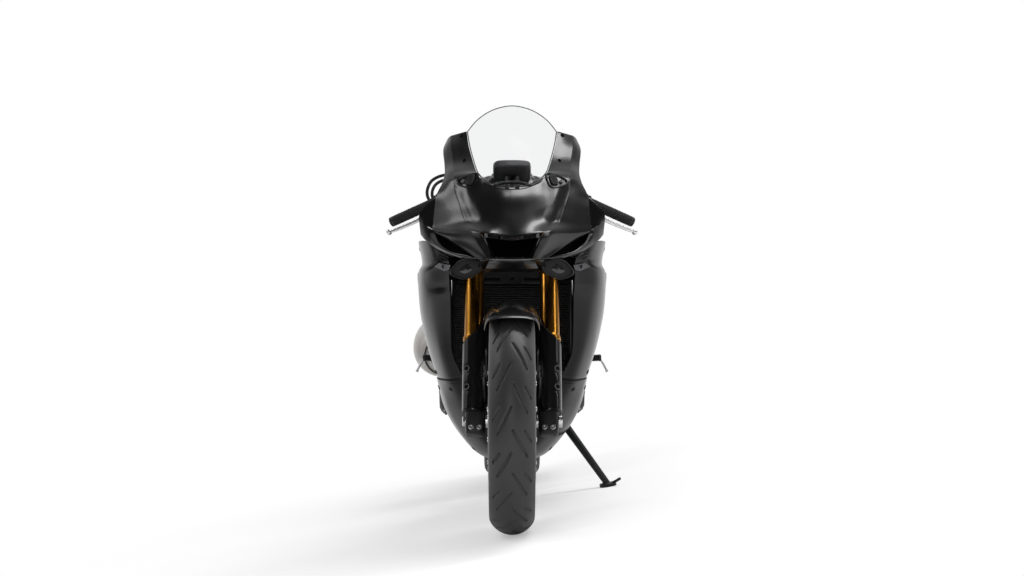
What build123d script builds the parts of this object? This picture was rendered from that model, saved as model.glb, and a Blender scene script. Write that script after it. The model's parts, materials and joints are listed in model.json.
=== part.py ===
"""A fully faired middleweight sport motorcycle, parked on its side stand.

The machine is drawn upright in its own bike frame, in millimetres: X to the rider's left, Y rearwards
with the front axle at Y = 0, Z up from the ground. parked() then leans every piece onto the side stand and
puts the origin under the middle of the whole machine, on the floor.
"""
from build123d import *
import math
import os

# ---- chassis geometry -------------------------------------------------------------------------------
WHEELBASE = 1375.0
FRONT_R = 300.0            # rolling radius of a 120/70 R17 tyre
REAR_R = 315.0             # rolling radius of a 180/55 R17 tyre
RAKE = 24.0                # degrees of the steering axis from the vertical
TRAIL = 97.0
STEER_LIMIT = 20.0         # degrees each way
LEAN = 10.0                # degrees towards the rider's left, on the side stand
GAP = 0.4                  # clearance between neighbouring pieces that only meet

SIN_R = math.sin(math.radians(RAKE))
COS_R = math.cos(math.radians(RAKE))
FORK_OFFSET = FRONT_R * SIN_R - TRAIL * COS_R       # axle ahead of the steering axis
FORK_HALF = 103.0          # half the distance between the fork legs
AXLE_R = 12.5
RUN = 0.06                 # radial clearance of a running fit
LEAN_SINK = 0.98           # how far the round tyres reach below the upright ground line once leaned
REAR_AXLE = (0.0, WHEELBASE, REAR_R + 0.74)       # the wider tyre sinks that much further
PANEL = 4.0                # thickness of a fairing panel
COWL_SEAM = 3.8            # how far the nose cowl stands back from its neighbours

# heights along the fork, measured from the front axle
S_OUTER_TUBE = (228.0, 700.0)
S_LOWER_CLAMP = (430.0, 468.0)
S_HEAD_TUBE = (474.0, 618.0)
S_UPPER_CLAMP = (625.0, 650.0)
S_BAR_CLAMP = (656.0, 690.0)
OUTER_TUBE_R = 27.0
INNER_TUBE_R = 21.5
STEM_R = 14.0

SWINGARM_PIVOT = (0.0, 855.0, 398.0)
CHAIN_X = 102.0            # the chain's plane, outboard of the rear tyre
FRONT_SPROCKET = (0.0, 775.0, 402.0)
FRONT_SPROCKET_R = 40.7
REAR_SPROCKET_R = 113.8

# threaded holes for a paddock stand's bobbins, in the swingarm's outer sides
SPOOL_Y, SPOOL_Z, SPOOL_FACE, SPOOL_DEPTH, SPOOL_R = 1300.0, 326.0, 148.0, 20.0, 4.0

STAND_PIVOT = (142.0, 800.0, 262.0)
STAND_FOOT = (292.0, 742.0)        # X and Y of the foot's middle; its height follows from the lean
STAND_FOLDED = (0.02, 0.99, 0.10)  # direction of the leg when it is folded up
STAND_FOOT_HALF = 6.0

CAP_CENTRE = (0.0, 492.0, 985.0)
CAP_HINGE = (0.0, 448.0, 992.0)

NODES = {}


# ---- helpers ----------------------------------------------------------------------------------------
def add(name, *solids):
    """Files solids under a node's name, to be placed and written at the end."""
    NODES.setdefault(name, []).extend(solids)


def facet(*corners):
    """A flat face through the corners."""
    return Face(Wire.make_polygon([Vector(*c) for c in corners], close=True))


def skin(rings):
    """Closed solid through closed rings of equal length, capped at both ends."""
    faces = []
    count = len(rings[0])
    for a, b in zip(rings, rings[1:]):
        for i in range(count):
            j = (i + 1) % count
            faces += [facet(a[i], a[j], b[j]), facet(a[i], b[j], b[i])]
    for ring in (rings[0], rings[-1]):
        middle = tuple(sum(p[k] for p in ring) / count for k in range(3))
        faces += [facet(ring[i], ring[(i + 1) % count], middle) for i in range(count)]
    return outward(Solid(Shell(faces)))


def outward(solid):
    """The solid with its faces pointing outwards."""
    return solid if solid.volume > 0 else Solid(Shell([-f for f in solid.faces()]))


def sheet(grids, thickness=PANEL, mirror=False):
    """Panel of even thickness behind one or more grids of points that share edges.

    Each grid is a list of rows from top to bottom, and each row runs from the middle of the machine
    outwards and back, so that its faces look outwards.
    """
    side = -1.0 if mirror else 1.0
    index, points, triangles = {}, [], []

    def key(p):
        k = tuple(round(v, 2) for v in p)
        if k not in index:
            index[k] = len(points)
            points.append(Vector(*p))
        return index[k]

    for grid in grids:
        ids = [[key((side * x, y, z)) for x, y, z in row] for row in grid]
        for upper, lower in zip(ids, ids[1:]):
            for i in range(len(upper) - 1):
                a, b, c, d = upper[i], lower[i], lower[i + 1], upper[i + 1]
                for tri in ((a, b, c), (a, c, d)):
                    if len(set(tri)) == 3:
                        triangles.append(tri if side > 0 else tri[::-1])
    normals = [Vector(0, 0, 0) for _ in points]
    for a, b, c in triangles:
        n = (points[b] - points[a]).cross(points[c] - points[a])
        for i in (a, b, c):
            normals[i] += n
    inner = [p - n.normalized() * thickness for p, n in zip(points, normals)]
    edges = {}
    for a, b, c in triangles:
        for e in ((a, b), (b, c), (c, a)):
            edges[e] = edges.get(e, 0) + 1
    faces = [facet(points[a], points[b], points[c]) for a, b, c in triangles]
    faces += [facet(inner[c], inner[b], inner[a]) for a, b, c in triangles]
    for a, b in edges:
        if (b, a) not in edges:
            faces += [facet(points[b], points[a], inner[a]), facet(points[b], inner[a], inner[b])]
    return outward(Solid(Shell(faces)))


def oval_ring(y, half_w, z_low, z_wide, z_top, power=2.6, count=16):
    """Ring across the machine at Y: widest at z_wide, rounder or squarer as power grows."""
    ring = []
    for i in range(count):
        a = 2 * math.pi * (i + 0.5) / count
        c, s = math.cos(a), math.sin(a)
        reach = (z_top - z_wide) if s > 0 else (z_wide - z_low)
        ring.append((half_w * math.copysign(abs(c) ** (2 / power), c), y,
                     z_wide + reach * math.copysign(abs(s) ** (2 / power), s)))
    return ring


def beam(stations, chamfer=0.22):
    """Box beam along stations of (x, y, z, width across X, height across the path)."""
    rings = []
    for i, (x, y, z, width, height) in enumerate(stations):
        a = stations[max(i - 1, 0)]
        b = stations[min(i + 1, len(stations) - 1)]
        run = math.hypot(b[1] - a[1], b[2] - a[2])
        ty, tz = (b[1] - a[1]) / run, (b[2] - a[2]) / run
        w, h = width / 2, height / 2
        cw, ch = w * (1 - 2 * chamfer), h * (1 - 2 * chamfer)
        corners = [(w, -ch), (w, ch), (cw, h), (-cw, h), (-w, ch), (-w, -ch), (-cw, -h), (cw, -h)]
        rings.append([(x + u, y - tz * v, z + ty * v) for u, v in corners])
    return skin(rings)


def rod(a, b, radius, radius_b=None):
    """Round bar from point a to point b, tapered when radius_b is given."""
    a, b = Vector(*a), Vector(*b)
    length = (b - a).length
    frame = Plane(origin=a, z_dir=b - a)
    low = (Align.CENTER, Align.CENTER, Align.MIN)
    if radius_b is None:
        return frame * Cylinder(radius, length, align=low)
    return frame * Cone(radius, radius_b, length, align=low)


def cross_rod(x0, x1, y, z, radius):
    """Round bar along X."""
    return rod((x0, y, z), (x1, y, z), radius)


def box(x0, x1, y0, y1, z0, z1):
    """Box between two corners."""
    return Pos((x0 + x1) / 2, (y0 + y1) / 2, (z0 + z1) / 2) * Box(x1 - x0, y1 - y0, z1 - z0)


def pipe(points, radius, bend):
    """Round pipe along straight runs joined by arcs."""
    path = FilletPolyline(*points, radius=bend)
    section = Plane(origin=path @ 0, z_dir=path % 0) * Circle(radius)
    return sweep(section, path=path)


def turned(profile, centre):
    """Solid of revolution about an X axis through centre; profile lists (x, radius)."""
    face = make_face(Polyline(*[(x, r) for x, r in profile], close=True))
    ring = revolve(face, Axis.X)
    return Pos(*centre) * ring


FORK = Plane(origin=(0, 0, FRONT_R), x_dir=(1, 0, 0), z_dir=(0, SIN_R, COS_R))


def fork_point(x, back, s):
    """Bike-frame point from fork coordinates: across, behind the fork line, and up from the axle."""
    return (x, back * COS_R + s * SIN_R, FRONT_R - back * SIN_R + s * COS_R)


# ---- wheels -----------------------------------------------------------------------------------------
# tyre columns: section half-width, its radius, shoulder x, shoulder radius, bead x, bead radius, outer radius
TYRES = {
    "front": (60.0, 250.0, 54.0, 271.0, 46.0, 217.5, FRONT_R),
    "rear": (92.0, 256.0, 80.0, 282.0, 69.0, 217.5, REAR_R),
}


def tyre(which, centre):
    """Hollow tyre carcass, open towards the rim."""
    half, r_wide, x_sh, r_sh, x_bead, r_bead, r_out = TYRES[which]
    wall = 9.0
    outer = [
        Line((-x_bead, r_bead), (-x_bead, r_bead + 12)),
        ThreePointArc((-x_bead, r_bead + 12), (-half, r_wide), (-x_sh, r_sh)),
        ThreePointArc((-x_sh, r_sh), (0, r_out), (x_sh, r_sh)),
        ThreePointArc((x_sh, r_sh), (half, r_wide), (x_bead, r_bead + 12)),
        Line((x_bead, r_bead + 12), (x_bead, r_bead)),
    ]
    inner = Polyline((x_bead, r_bead), (x_bead - wall, r_bead), (x_bead - wall, r_bead + 14),
                     (half - wall, r_wide), (x_sh - wall, r_sh - 4), (0, r_out - 13),
                     (-x_sh + wall, r_sh - 4), (-half + wall, r_wide), (-x_bead + wall, r_bead + 14),
                     (-x_bead + wall, r_bead), (-x_bead, r_bead))
    face = make_face(Curve() + outer + [inner])
    return Pos(*centre) * revolve(face, Axis.X)


# spoke stations: distance from the axle (0 for the hub), half-width, and half-thickness over the spoke's own
SPOKE_STATIONS = ((0.0, 26.0, 7.0), (85.0, 18.0, 2.0), (160.0, 15.0, -3.0), (206.0, 25.0, 1.0))


def rim(x_bead, hub_half, hub_r, spoke_half, centre, bore):
    """Five-spoke cast wheel on a hub with a running bore."""
    lip = x_bead + 1.0
    barrel = turned([(-lip - 6, 212), (-lip - 6, 226), (-lip - 0.6, 226), (-lip - 0.6, 217), (-lip + 22, 208),
                     (lip - 22, 208), (lip + 0.6, 217), (lip + 0.6, 226), (lip + 6, 226), (lip + 6, 212),
                     (lip - 22, 199), (-lip + 22, 199)], (0, 0, 0))
    wheel = barrel + Rot(0, 90, 0) * Cylinder(hub_r, 2 * hub_half)
    for k in range(5):
        rings = []
        for z, half_w, half_t in SPOKE_STATIONS:
            t = spoke_half + half_t
            rings.append([(t, -half_w, z), (t, half_w, z), (-t, half_w, z), (-t, -half_w, z)])
        wheel += Rot(k * 72.0, 0, 0) * skin([[(x, y, hub_r - 10 if z == 0 else z) for x, y, z in r] for r in rings])
    wheel -= Rot(0, 90, 0) * Cylinder(bore, 2 * hub_half + 2)
    return Pos(*centre) * wheel


def brake_disc(x, radius, band, hub_r, thick, centre, arms=10):
    """Brake disc ring on a thin carrier whose arms reach out from the hub."""
    ring = turned([(x - thick / 2, radius), (x + thick / 2, radius), (x + thick / 2, radius - band),
                   (x - thick / 2, radius - band)], (0, 0, 0))
    carrier = turned([(x - 3, hub_r + 18), (x + 3, hub_r + 18), (x + 3, hub_r), (x - 3, hub_r)], (0, 0, 0))
    for k in range(arms):
        length = radius - band - hub_r - 10
        arm = Pos(x, 0, hub_r + 14 + length / 2) * Box(5, 12, length)
        carrier += Rot(k * 360.0 / arms, 0, 0) * arm
    return Pos(*centre) * (ring + carrier)


def make_front_wheel():
    centre = (0, 0, FRONT_R)
    add("front_tyre", tyre("front", centre))
    add("front_rim", rim(46.0, 52.0, 36.0, 15.0, centre, AXLE_R + RUN))
    for side in (1, -1):
        add("front_discs", brake_disc(side * 60.0, 160.0, 34.0, 38.0, 5.0, centre))


def make_rear_wheel():
    add("rear_tyre", tyre("rear", REAR_AXLE))
    add("rear_rim", rim(69.0, 70.0, 42.0, 18.0, REAR_AXLE, AXLE_R + RUN))
    add("rear_disc", brake_disc(-82.0, 110.0, 32.0, 26.0, 5.0, REAR_AXLE, arms=6))
    sprocket = cross_rod(CHAIN_X - 3, CHAIN_X + 3, 0, 0, REAR_SPROCKET_R + 3)
    sprocket -= cross_rod(CHAIN_X - 4, CHAIN_X + 4, 0, 0, 78)
    carrier = cross_rod(70.3, CHAIN_X - 1, 0, 0, 46)
    for k in range(5):
        carrier += Rot(k * 72.0, 0, 0) * (Pos(CHAIN_X - 3, 0, 62) * Box(4, 26, 44))
    hub = sprocket + carrier - cross_rod(60, 110, 0, 0, AXLE_R + RUN)
    add("rear_sprocket", Pos(*REAR_AXLE) * hub)


# ---- steering ---------------------------------------------------------------------------------------
def make_fork():
    for side in (1, -1):
        x = side * FORK_HALF
        s0, s1 = S_OUTER_TUBE
        outer = rod((x, 0, s0), (x, 0, s1), OUTER_TUBE_R) + rod((x, 0, s0), (x, 0, s0 + 14), OUTER_TUBE_R + 2.5)
        outer += rod((x, 0, s1 - 1), (x, 0, s1 + 7), OUTER_TUBE_R - 5)
        outer -= rod((x, 0, s0 - 1), (x, 0, s0 + 190), INNER_TUBE_R + 0.3)
        add("fork_outer_tubes", FORK * outer)
        bracket = box(min(side * 70, side * 124), max(side * 70, side * 124), -24, 26, -38, 62)
        leg = bracket + rod((x, 0, 40), (x, 0, s0 + 160), INNER_TUBE_R)
        lug = skin([[(side * t, y, s) for y, s in ((4, 20), (4, 130), (118, 150), (128, 96), (92, 44), (40, 20))]
                    for t in (93.0, 108.0)])
        leg = leg + lug - rod((side * 60, 0, 0), (side * 130, 0, 0), AXLE_R + RUN)
        add("fork_lower_legs", FORK * leg)
    axle = rod((-127, 0, 0), (127, 0, 0), AXLE_R) + rod((124.5, 0, 0), (134, 0, 0), 17)
    for side in (1, -1):
        axle += rod((side * 52.6, 0, 0), (side * 69.6, 0, 0), 17) - rod((side * 50, 0, 0), (side * 70, 0, 0), AXLE_R - 1)
    add("front_axle", FORK * axle)


def clamp_plate(s0, s1, boss_r, waist):
    """Triple clamp: two bored fork bosses joined by a bridge around the stem."""
    plate = box(-FORK_HALF, FORK_HALF, -waist + 8, waist, s0, s1)
    plate += rod((0, FORK_OFFSET, s0), (0, FORK_OFFSET, s1), 34)
    for side in (1, -1):
        plate += rod((side * FORK_HALF, 0, s0), (side * FORK_HALF, 0, s1), boss_r)
    for side in (1, -1):
        plate -= rod((side * FORK_HALF, 0, s0 - 1), (side * FORK_HALF, 0, s1 + 1), OUTER_TUBE_R + 0.1)
    return plate


def make_clamps():
    s0, s1 = S_LOWER_CLAMP
    lower = clamp_plate(s0, s1, 38, 26)
    lower += rod((0, FORK_OFFSET, s0), (0, FORK_OFFSET, S_UPPER_CLAMP[1] + 8), STEM_R)
    lower -= rod((0, FORK_OFFSET, s0 - 1), (0, FORK_OFFSET, s0 + 40), 8.5)
    add("lower_clamp_and_stem", FORK * lower)
    s0, s1 = S_UPPER_CLAMP
    upper = clamp_plate(s0, s1, 35, 24)
    upper -= rod((0, FORK_OFFSET, s0 - 1), (0, FORK_OFFSET, s1 + 1), STEM_R + 0.1)
    nut = rod((0, FORK_OFFSET, s1 + GAP), (0, FORK_OFFSET, s1 + 11), 21)
    nut -= rod((0, FORK_OFFSET, s1 - 1), (0, FORK_OFFSET, s1 + 12), STEM_R + 0.1)
    add("upper_clamp", FORK * upper, FORK * nut)


# the bar's centre line, from the clamp to the grip's outer end: x, and y and z per unit of x
BAR_FROM = (128.0, 243.0, 931.0)
BAR_SWEEP, BAR_DROOP = 0.39, -0.427
BAR_R, GRIP_R = 11.0, 16.5


def bar_point(x, side=1, ahead=0.0, down=0.0):
    """Point beside the handlebar's centre line."""
    t = x - BAR_FROM[0]
    return (side * x, BAR_FROM[1] + BAR_SWEEP * t - ahead, BAR_FROM[2] + BAR_DROOP * t - down)


def make_bars():
    for side in (1, -1):
        x = side * FORK_HALF
        s0, s1 = S_BAR_CLAMP
        ring = FORK * rod((x, 0, s0), (x, 0, s1), 36)
        bar = rod(bar_point(116, side), bar_point(338, side), BAR_R)
        clip = ring + bar
        bore = FORK * rod((x, 0, s0 - 60), (x, 0, s1 + 60), OUTER_TUBE_R + 0.1)
        add("handlebars", clip - bore)
        grip = rod(bar_point(212, side), bar_point(333, side), GRIP_R)
        grip += rod(bar_point(209, side), bar_point(214, side), GRIP_R + 3.5)
        grip += rod(bar_point(331, side), bar_point(342, side), GRIP_R - 2, GRIP_R - 4)
        grip -= rod(bar_point(200, side), bar_point(338, side), BAR_R + 0.1)
        add("grips", grip)
        pod = rod(bar_point(180, side), bar_point(206, side), 20)
        pod -= rod(bar_point(170, side), bar_point(210, side), BAR_R + 0.1)
        add("switch_pods", pod)
        perch = rod(bar_point(158, side), bar_point(176, side), 19)
        perch += rod(bar_point(168, side, 6, 2), bar_point(184, side, 38, 16), 9)
        perch -= rod(bar_point(150, side), bar_point(180, side), BAR_R + 0.1)
        lever = [(180, 34, 14, 9.0, 15.0), (206, 52, 24, 7.0, 15.0), (262, 56, 31, 6.0, 13.0),
                 (318, 54, 30, 6.0, 12.0), (343, 52, 28, 7.0, 8.0)]
        rings = []
        for t, ahead, down, half_y, height in lever:
            px, py, pz = bar_point(t, side, ahead, down)
            corners = ((-half_y, -height), (half_y, -height), (half_y, height), (-half_y, height))
            rings.append([(px, py + u, pz + v / 2) for u, v in corners])
        blade = skin(rings)
        ball = Pos(*bar_point(344, side, 52, 28)) * Sphere(8.5)
        name = "clutch_lever" if side > 0 else "brake_lever"
        assembly = perch + blade + ball
        if side < 0:
            assembly += rod(bar_point(146, side, 32, -6), bar_point(184, side, 32, -6), 12)
            assembly -= rod(bar_point(140, side), bar_point(180, side), BAR_R + 0.1)
        add(name, assembly)
    add("brake_reservoir", rod((-152, 262, 940), (-152, 266, 972), 17))
    loop = [bar_point(193, -1, 0, -27), (-222, 298, 938), (-222, 326, 966), (-178, 338, 982), (-130, 340, 950)]
    add("throttle_cables", pipe(loop, 5.0, 16))


# fender columns across half the tyre: x, radius
FENDER_ARCH = ((0.0, 328.0), (34.0, 326.5), (56.0, 320.0), (68.0, 306.0), (72.5, 288.0))
FENDER_FROM, FENDER_TO, FENDER_STEPS = 31.0, -72.0, 8
# fork guard rows up the leg: s, and columns across it in fork coordinates: x, back
GUARD_ROWS = (300.0, 236.0, 180.0, 84.0)
GUARD_ACROSS = ((72.5, -14.0), (80.0, -29.0), (100.0, -36.0), (120.0, -32.0), (132.0, -14.0), (133.5, 14.0))


def make_fender():
    rows = []
    for k in range(FENDER_STEPS + 1):
        a = math.radians(FENDER_FROM + (FENDER_TO - FENDER_FROM) * k / FENDER_STEPS)
        half = [(x, -r * math.sin(a), FRONT_R + r * math.cos(a)) for x, r in FENDER_ARCH]
        rows.append([(-x, y, z) for x, y, z in half[:0:-1]] + half)
    guards = []
    for side in (1, -1):
        grid = []
        for k, s in enumerate(GUARD_ROWS):
            drop = 62.0 if k == 0 else 0.0
            grid.append([fork_point(x, back, s - drop * (x - 72.5) / 61.0) for x, back in GUARD_ACROSS])
        guards.append(sheet([grid], 3.0, mirror=side < 0))
    fender = sheet([rows[::-1]], 3.0)
    for side, guard in zip((1, -1), guards):
        bridge = FORK * box(min(side * 66, side * 76), max(side * 66, side * 76), -20, 26, 200, 292)
        fender = fender + guard + bridge
    add("front_fender", fender - FORK * (rod((FORK_HALF, 0, 60), (FORK_HALF, 0, 400), OUTER_TUBE_R + 3)
                                         + rod((-FORK_HALF, 0, 60), (-FORK_HALF, 0, 400), OUTER_TUBE_R + 3)))


def make_front_calipers():
    for side in (1, -1):
        body = Rot(-45, 0, 0) * (Pos(side * 62.5, 0, 148) * Box(59, 108, 62))
        ring = rod((side * 54.5, 0, 0), (side * 65.5, 0, 0), 166)
        add("front_calipers", FORK * (body - ring))


def make_hoses():
    """Brake line from the master cylinder down to a splitter on the lower clamp."""
    start = bar_point(142.4, -1, 32, -6)
    route = [start, (-112, 205, 905), (-58, 178, 850), (-40, 140, 770), fork_point(-40, -24, 449)]
    add("brake_hose", pipe(route, 4.0, 24))


# ---- frame, engine and drive ------------------------------------------------------------------------
# spar columns: x, y, z, width, height
SPAR = ((46.0, 270.0, 782.0, 44.0, 116.0), (94.0, 356.0, 762.0, 34.0, 110.0), (146.0, 470.0, 705.0, 30.0, 100.0),
        (150.0, 640.0, 600.0, 30.0, 92.0), (140.0, 780.0, 490.0, 30.0, 90.0), (136.0, 852.0, 400.0, 30.0, 92.0),
        (132.0, 868.0, 318.0, 26.0, 64.0))


def make_frame():
    s0, s1 = S_HEAD_TUBE
    tube = FORK * rod((0, FORK_OFFSET, s0), (0, FORK_OFFSET, s1), 33)
    frame = tube
    for side in (1, -1):
        frame += beam([(side * x, y, z, w, h) for x, y, z, w, h in SPAR])
    gusset = beam([(0, 262, 780, 88, 118), (0, 300, 772, 128, 96)])
    frame += gusset + box(-140, 140, 806, 836, 500, 530) + box(-130, 130, 850, 872, 292, 316)
    frame -= FORK * rod((0, FORK_OFFSET, s0 - 60), (0, FORK_OFFSET, s1 + 60), STEM_R + RUN)
    frame -= cross_rod(-170, 170, SWINGARM_PIVOT[1], SWINGARM_PIVOT[2], 12.1)
    add("main_frame", frame)


def make_engine():
    case = box(-128, 128, 508, 776, 232, 404) + box(-112, 112, 560, 740, 400, 470)
    barrel = Pos(0, 545, 520) * Rot(32, 0, 0) * Box(236, 190, 250)
    engine = case + barrel
    engine -= cross_rod(88, 140, FRONT_SPROCKET[1], FRONT_SPROCKET[2], 56)
    for side, radius, reach in ((1, 72, 206), (-1, 78, 206)):
        engine += cross_rod(side * 120, side * reach, 668, 356, radius)
        engine += cross_rod(side * (reach - 1), side * (reach + 10), 668, 356, radius - 14)
    add("engine_block", engine)


RADIATOR = (330.0, 26.0, 244.0)      # width, thickness and height of the core
RADIATOR_AT = (0.0, 356.0, 552.0)
RADIATOR_TILT = -6.0


def make_radiator():
    w, t, h = RADIATOR
    core = Box(w, t, h)
    tanks = Box(w + 12, t + 8, 20)
    rad = core + Pos(0, 0, h / 2) * tanks + Pos(0, 0, -h / 2) * tanks
    rad += Pos(w / 2, 0, 0) * Box(12, t + 8, h) + Pos(-w / 2, 0, 0) * Box(12, t + 8, h)
    add("radiator", Pos(*RADIATOR_AT) * Rot(RADIATOR_TILT, 0, 0) * rad)


HEADER_X = (-92.0, -32.0, 32.0, 92.0)


def make_exhaust():
    headers = []
    for x in HEADER_X:
        inner = 0.42 * x
        run = [(x, 434, 496), (x, 398, 472), (x, 398, 430), (inner, 418, 300), (inner, 506, 204), (inner, 620, 192)]
        headers.append(pipe(run, 19, 30))
    merged = box(-80, 80, 600, 790, 160, 222)
    for h in headers:
        merged += h
    add("exhaust_headers", merged)
    # silencer rings: y, centre x, centre z, half-width, half-height
    table = ((1002.0, -214.0, 424.0, 34.0, 40.0), (1032.0, -236.0, 440.0, 60.0, 62.0), (1090.0, -243.0, 452.0, 66.0, 72.0),
             (1190.0, -246.0, 470.0, 64.0, 70.0), (1236.0, -246.0, 480.0, 52.0, 58.0))
    rings = []
    for y, cx, cz, hw, hh in table:
        ring = []
        for i in range(16):
            a = 2 * math.pi * i / 16
            lean = 1.0 - 0.20 * math.sin(a)
            ring.append((cx + hw * math.cos(a) * lean - 0.28 * hh * math.sin(a), y, cz + hh * math.sin(a)))
        rings.append(ring)
    can = skin(rings) - Pos(-258, 1230, 486) * Rot(90, 0, 0) * Cylinder(22, 60)
    link = pipe([(-52, 791, 192), (-52, 830, 192), (-130, 900, 222), (-196, 968, 310), (-214, 1004, 424)], 25, 40)
    add("exhaust_silencer", can + link)


def make_swingarm():
    px, py, pz = SWINGARM_PIVOT
    arm = cross_rod(-116, 116, py, pz, 21)
    for side in (1, -1):
        x_back = 132.0 if side > 0 else 128.0
        arm += beam([(side * 104, py - 6, pz, 22, 40), (side * 104, py + 52, pz - 2, 24, 56),
                     (side * 132, py + 130, pz - 6, 26, 68), (side * x_back, 1250, 336, 24, 58),
                     (side * x_back, 1375, 315, 22, 52), (side * x_back, 1428, 312, 22, 44)])
    arm += box(-108, 108, py + 62, py + 92, pz - 26, pz + 20)
    for side in (1, -1):
        arm += box(min(side * 17.5, side * 30), max(side * 17.5, side * 30), py + 62, py + 92, pz + 10, pz + 60)
    arm -= cross_rod(-170, 170, py, pz, 12.1)
    arm -= cross_rod(-170, 170, WHEELBASE, REAR_AXLE[2], AXLE_R + RUN)
    for side in (1, -1):
        arm += cross_rod(side * 124, side * SPOOL_FACE, SPOOL_Y, SPOOL_Z, 10)
        arm -= cross_rod(side * (SPOOL_FACE - SPOOL_DEPTH), side * (SPOOL_FACE + 1), SPOOL_Y, SPOOL_Z, SPOOL_R)
    add("swingarm", arm)
    add("pivot_shaft", cross_rod(-158, 158, py, pz, 12.0) + cross_rod(152, 160, py, pz, 19)
        + cross_rod(-160, -152, py, pz, 19))
    add("rear_axle", cross_rod(-152, 152, WHEELBASE, REAR_AXLE[2], AXLE_R)
        + cross_rod(144, 156, WHEELBASE, REAR_AXLE[2], 20) + cross_rod(-156, -141, WHEELBASE, REAR_AXLE[2], 20))


def make_shock():
    top, low = (0, 838, 668), (0, 932, 442)
    body = rod(top, low, 17)
    for k in range(7):
        t0 = 0.14 + 0.09 * k
        a = [top[i] + (low[i] - top[i]) * t0 for i in range(3)]
        b = [top[i] + (low[i] - top[i]) * (t0 + 0.045) for i in range(3)]
        body += rod(a, b, 36)
    body += cross_rod(-24, 24, top[1], top[2], 16) + cross_rod(-14, 14, low[1], low[2], 14)
    add("shock_absorber", body)


def make_chain():
    """Chain loop: two side-plate bands with rollers between them on the straight runs."""
    a = (FRONT_SPROCKET[1], FRONT_SPROCKET[2], FRONT_SPROCKET_R)
    b = (WHEELBASE, REAR_AXLE[2], REAR_SPROCKET_R)
    run = math.hypot(b[0] - a[0], b[1] - a[1])
    tilt = math.atan2(b[1] - a[1], b[0] - a[0])
    spread = math.acos((a[2] - b[2]) / run)

    def loop(grow):
        points = []
        for cy, cz, r, start, end in ((b[0], b[1], b[2], spread, -spread), (a[0], a[1], a[2], -spread, spread - 2 * math.pi)):
            for k in range(13):
                ang = tilt + start + (end - start) * k / 12
                points.append((cy + (r + grow) * math.cos(ang), cz + (r + grow) * math.sin(ang)))
        return points

    def band(x0, x1, out, inn):
        outer, inner = ([[(x, y, z) for y, z in loop(g)] for x in (x0, x1)] for g in (out, inn))
        return skin(outer) - skin([[(x0 - 1, y, z) for _, y, z in inner[0]], [(x1 + 1, y, z) for _, y, z in inner[1]]])

    chain = band(CHAIN_X - 9, CHAIN_X - 5, 8, -8) + band(CHAIN_X + 5, CHAIN_X + 9, 8, -8)
    for cy_sign in (1, -1):
        ang = tilt + cy_sign * spread
        for k in range(2, 30):
            f = k / 31.0
            y = a[0] + (b[0] - a[0]) * f + (a[2] + (b[2] - a[2]) * f) * math.cos(ang)
            z = a[1] + (b[1] - a[1]) * f + (a[2] + (b[2] - a[2]) * f) * math.sin(ang)
            if math.hypot(y - b[0], z - b[1]) > REAR_SPROCKET_R + 12 and math.hypot(y - a[0], z - a[1]) > 52:
                chain += cross_rod(CHAIN_X - 6, CHAIN_X + 6, y, z, 5)
    add("drive_chain", chain)
    cover = cross_rod(CHAIN_X + 11, CHAIN_X + 16, a[0], a[1], 50)
    boss = cross_rod(CHAIN_X - 4, CHAIN_X + 4, a[0], a[1], FRONT_SPROCKET_R - 9)
    add("front_sprocket", boss + cross_rod(88.5, 115, a[0], a[1], 12) + cover)


def make_rear_caliper():
    body = Rot(38, 0, 0) * (Pos(-82, 0, 104) * Box(46, 84, 46))
    body -= cross_rod(-87.5, -76.5, 0, 0, 116)
    strut = Rot(38, 0, 0) * (Pos(-101, 0, 74) * Box(7, 30, 60)) + cross_rod(-104.5, -97.5, 0, 0, 26)
    whole = body + strut - cross_rod(-110, -60, 0, 0, AXLE_R + RUN)
    add("rear_caliper", Pos(*REAR_AXLE) * whole)
    left = cross_rod(CHAIN_X + 3.4, 120.6, 0, 0, 18) - cross_rod(100, 130, 0, 0, AXLE_R + RUN)
    right = cross_rod(-115.6, -104.9, 0, 0, 18) - cross_rod(-120, -100, 0, 0, AXLE_R + RUN)
    add("axle_spacers", Pos(*REAR_AXLE) * left, Pos(*REAR_AXLE) * right)


# ---- bodywork ---------------------------------------------------------------------------------------
# Every grid below lists rows from top to bottom, and each row's points (x, y, z) from the middle outwards and back.
SCREEN = (
    ((0, 296, 1166), (38, 298, 1160), (71, 300, 1146), (101, 298, 1123), (125, 290, 1093)),
    ((0, 234, 1107), (40, 238, 1101), (75, 245, 1088), (105, 253, 1070), (118, 247, 1052)),
    ((0, 164, 1044), (38, 169, 1039), (69, 181, 1029), (94, 193, 1017), (106, 194, 1007)),
    ((0, 102, 981), (34, 107, 979), (61, 118, 977), (83, 133, 975), (95, 141, 973)),
    ((0, 49, 925), (30, 53, 928), (55, 66, 936), (75, 84, 946), (86, 102, 959)),
)
ARM = (
    ((128, 289, 1094), (148, 296, 1089), (172, 306, 1083), (178, 312, 1079), (183, 319, 1074)),
    ((121, 248, 1053), (145, 256, 1055), (172, 269, 1053), (183, 278, 1048), (193, 289, 1042)),
    ((109, 194, 1008), (135, 203, 1008), (164, 216, 1005), (177, 228, 1002), (188, 238, 999)),
    ((98, 141, 974), (129, 153, 977), (161, 168, 974), (174, 178, 971), (186, 190, 967)),
    ((89, 102, 955), (121, 115, 957), (158, 135, 952), (176, 149, 947), (192, 164, 941)),
)
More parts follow.
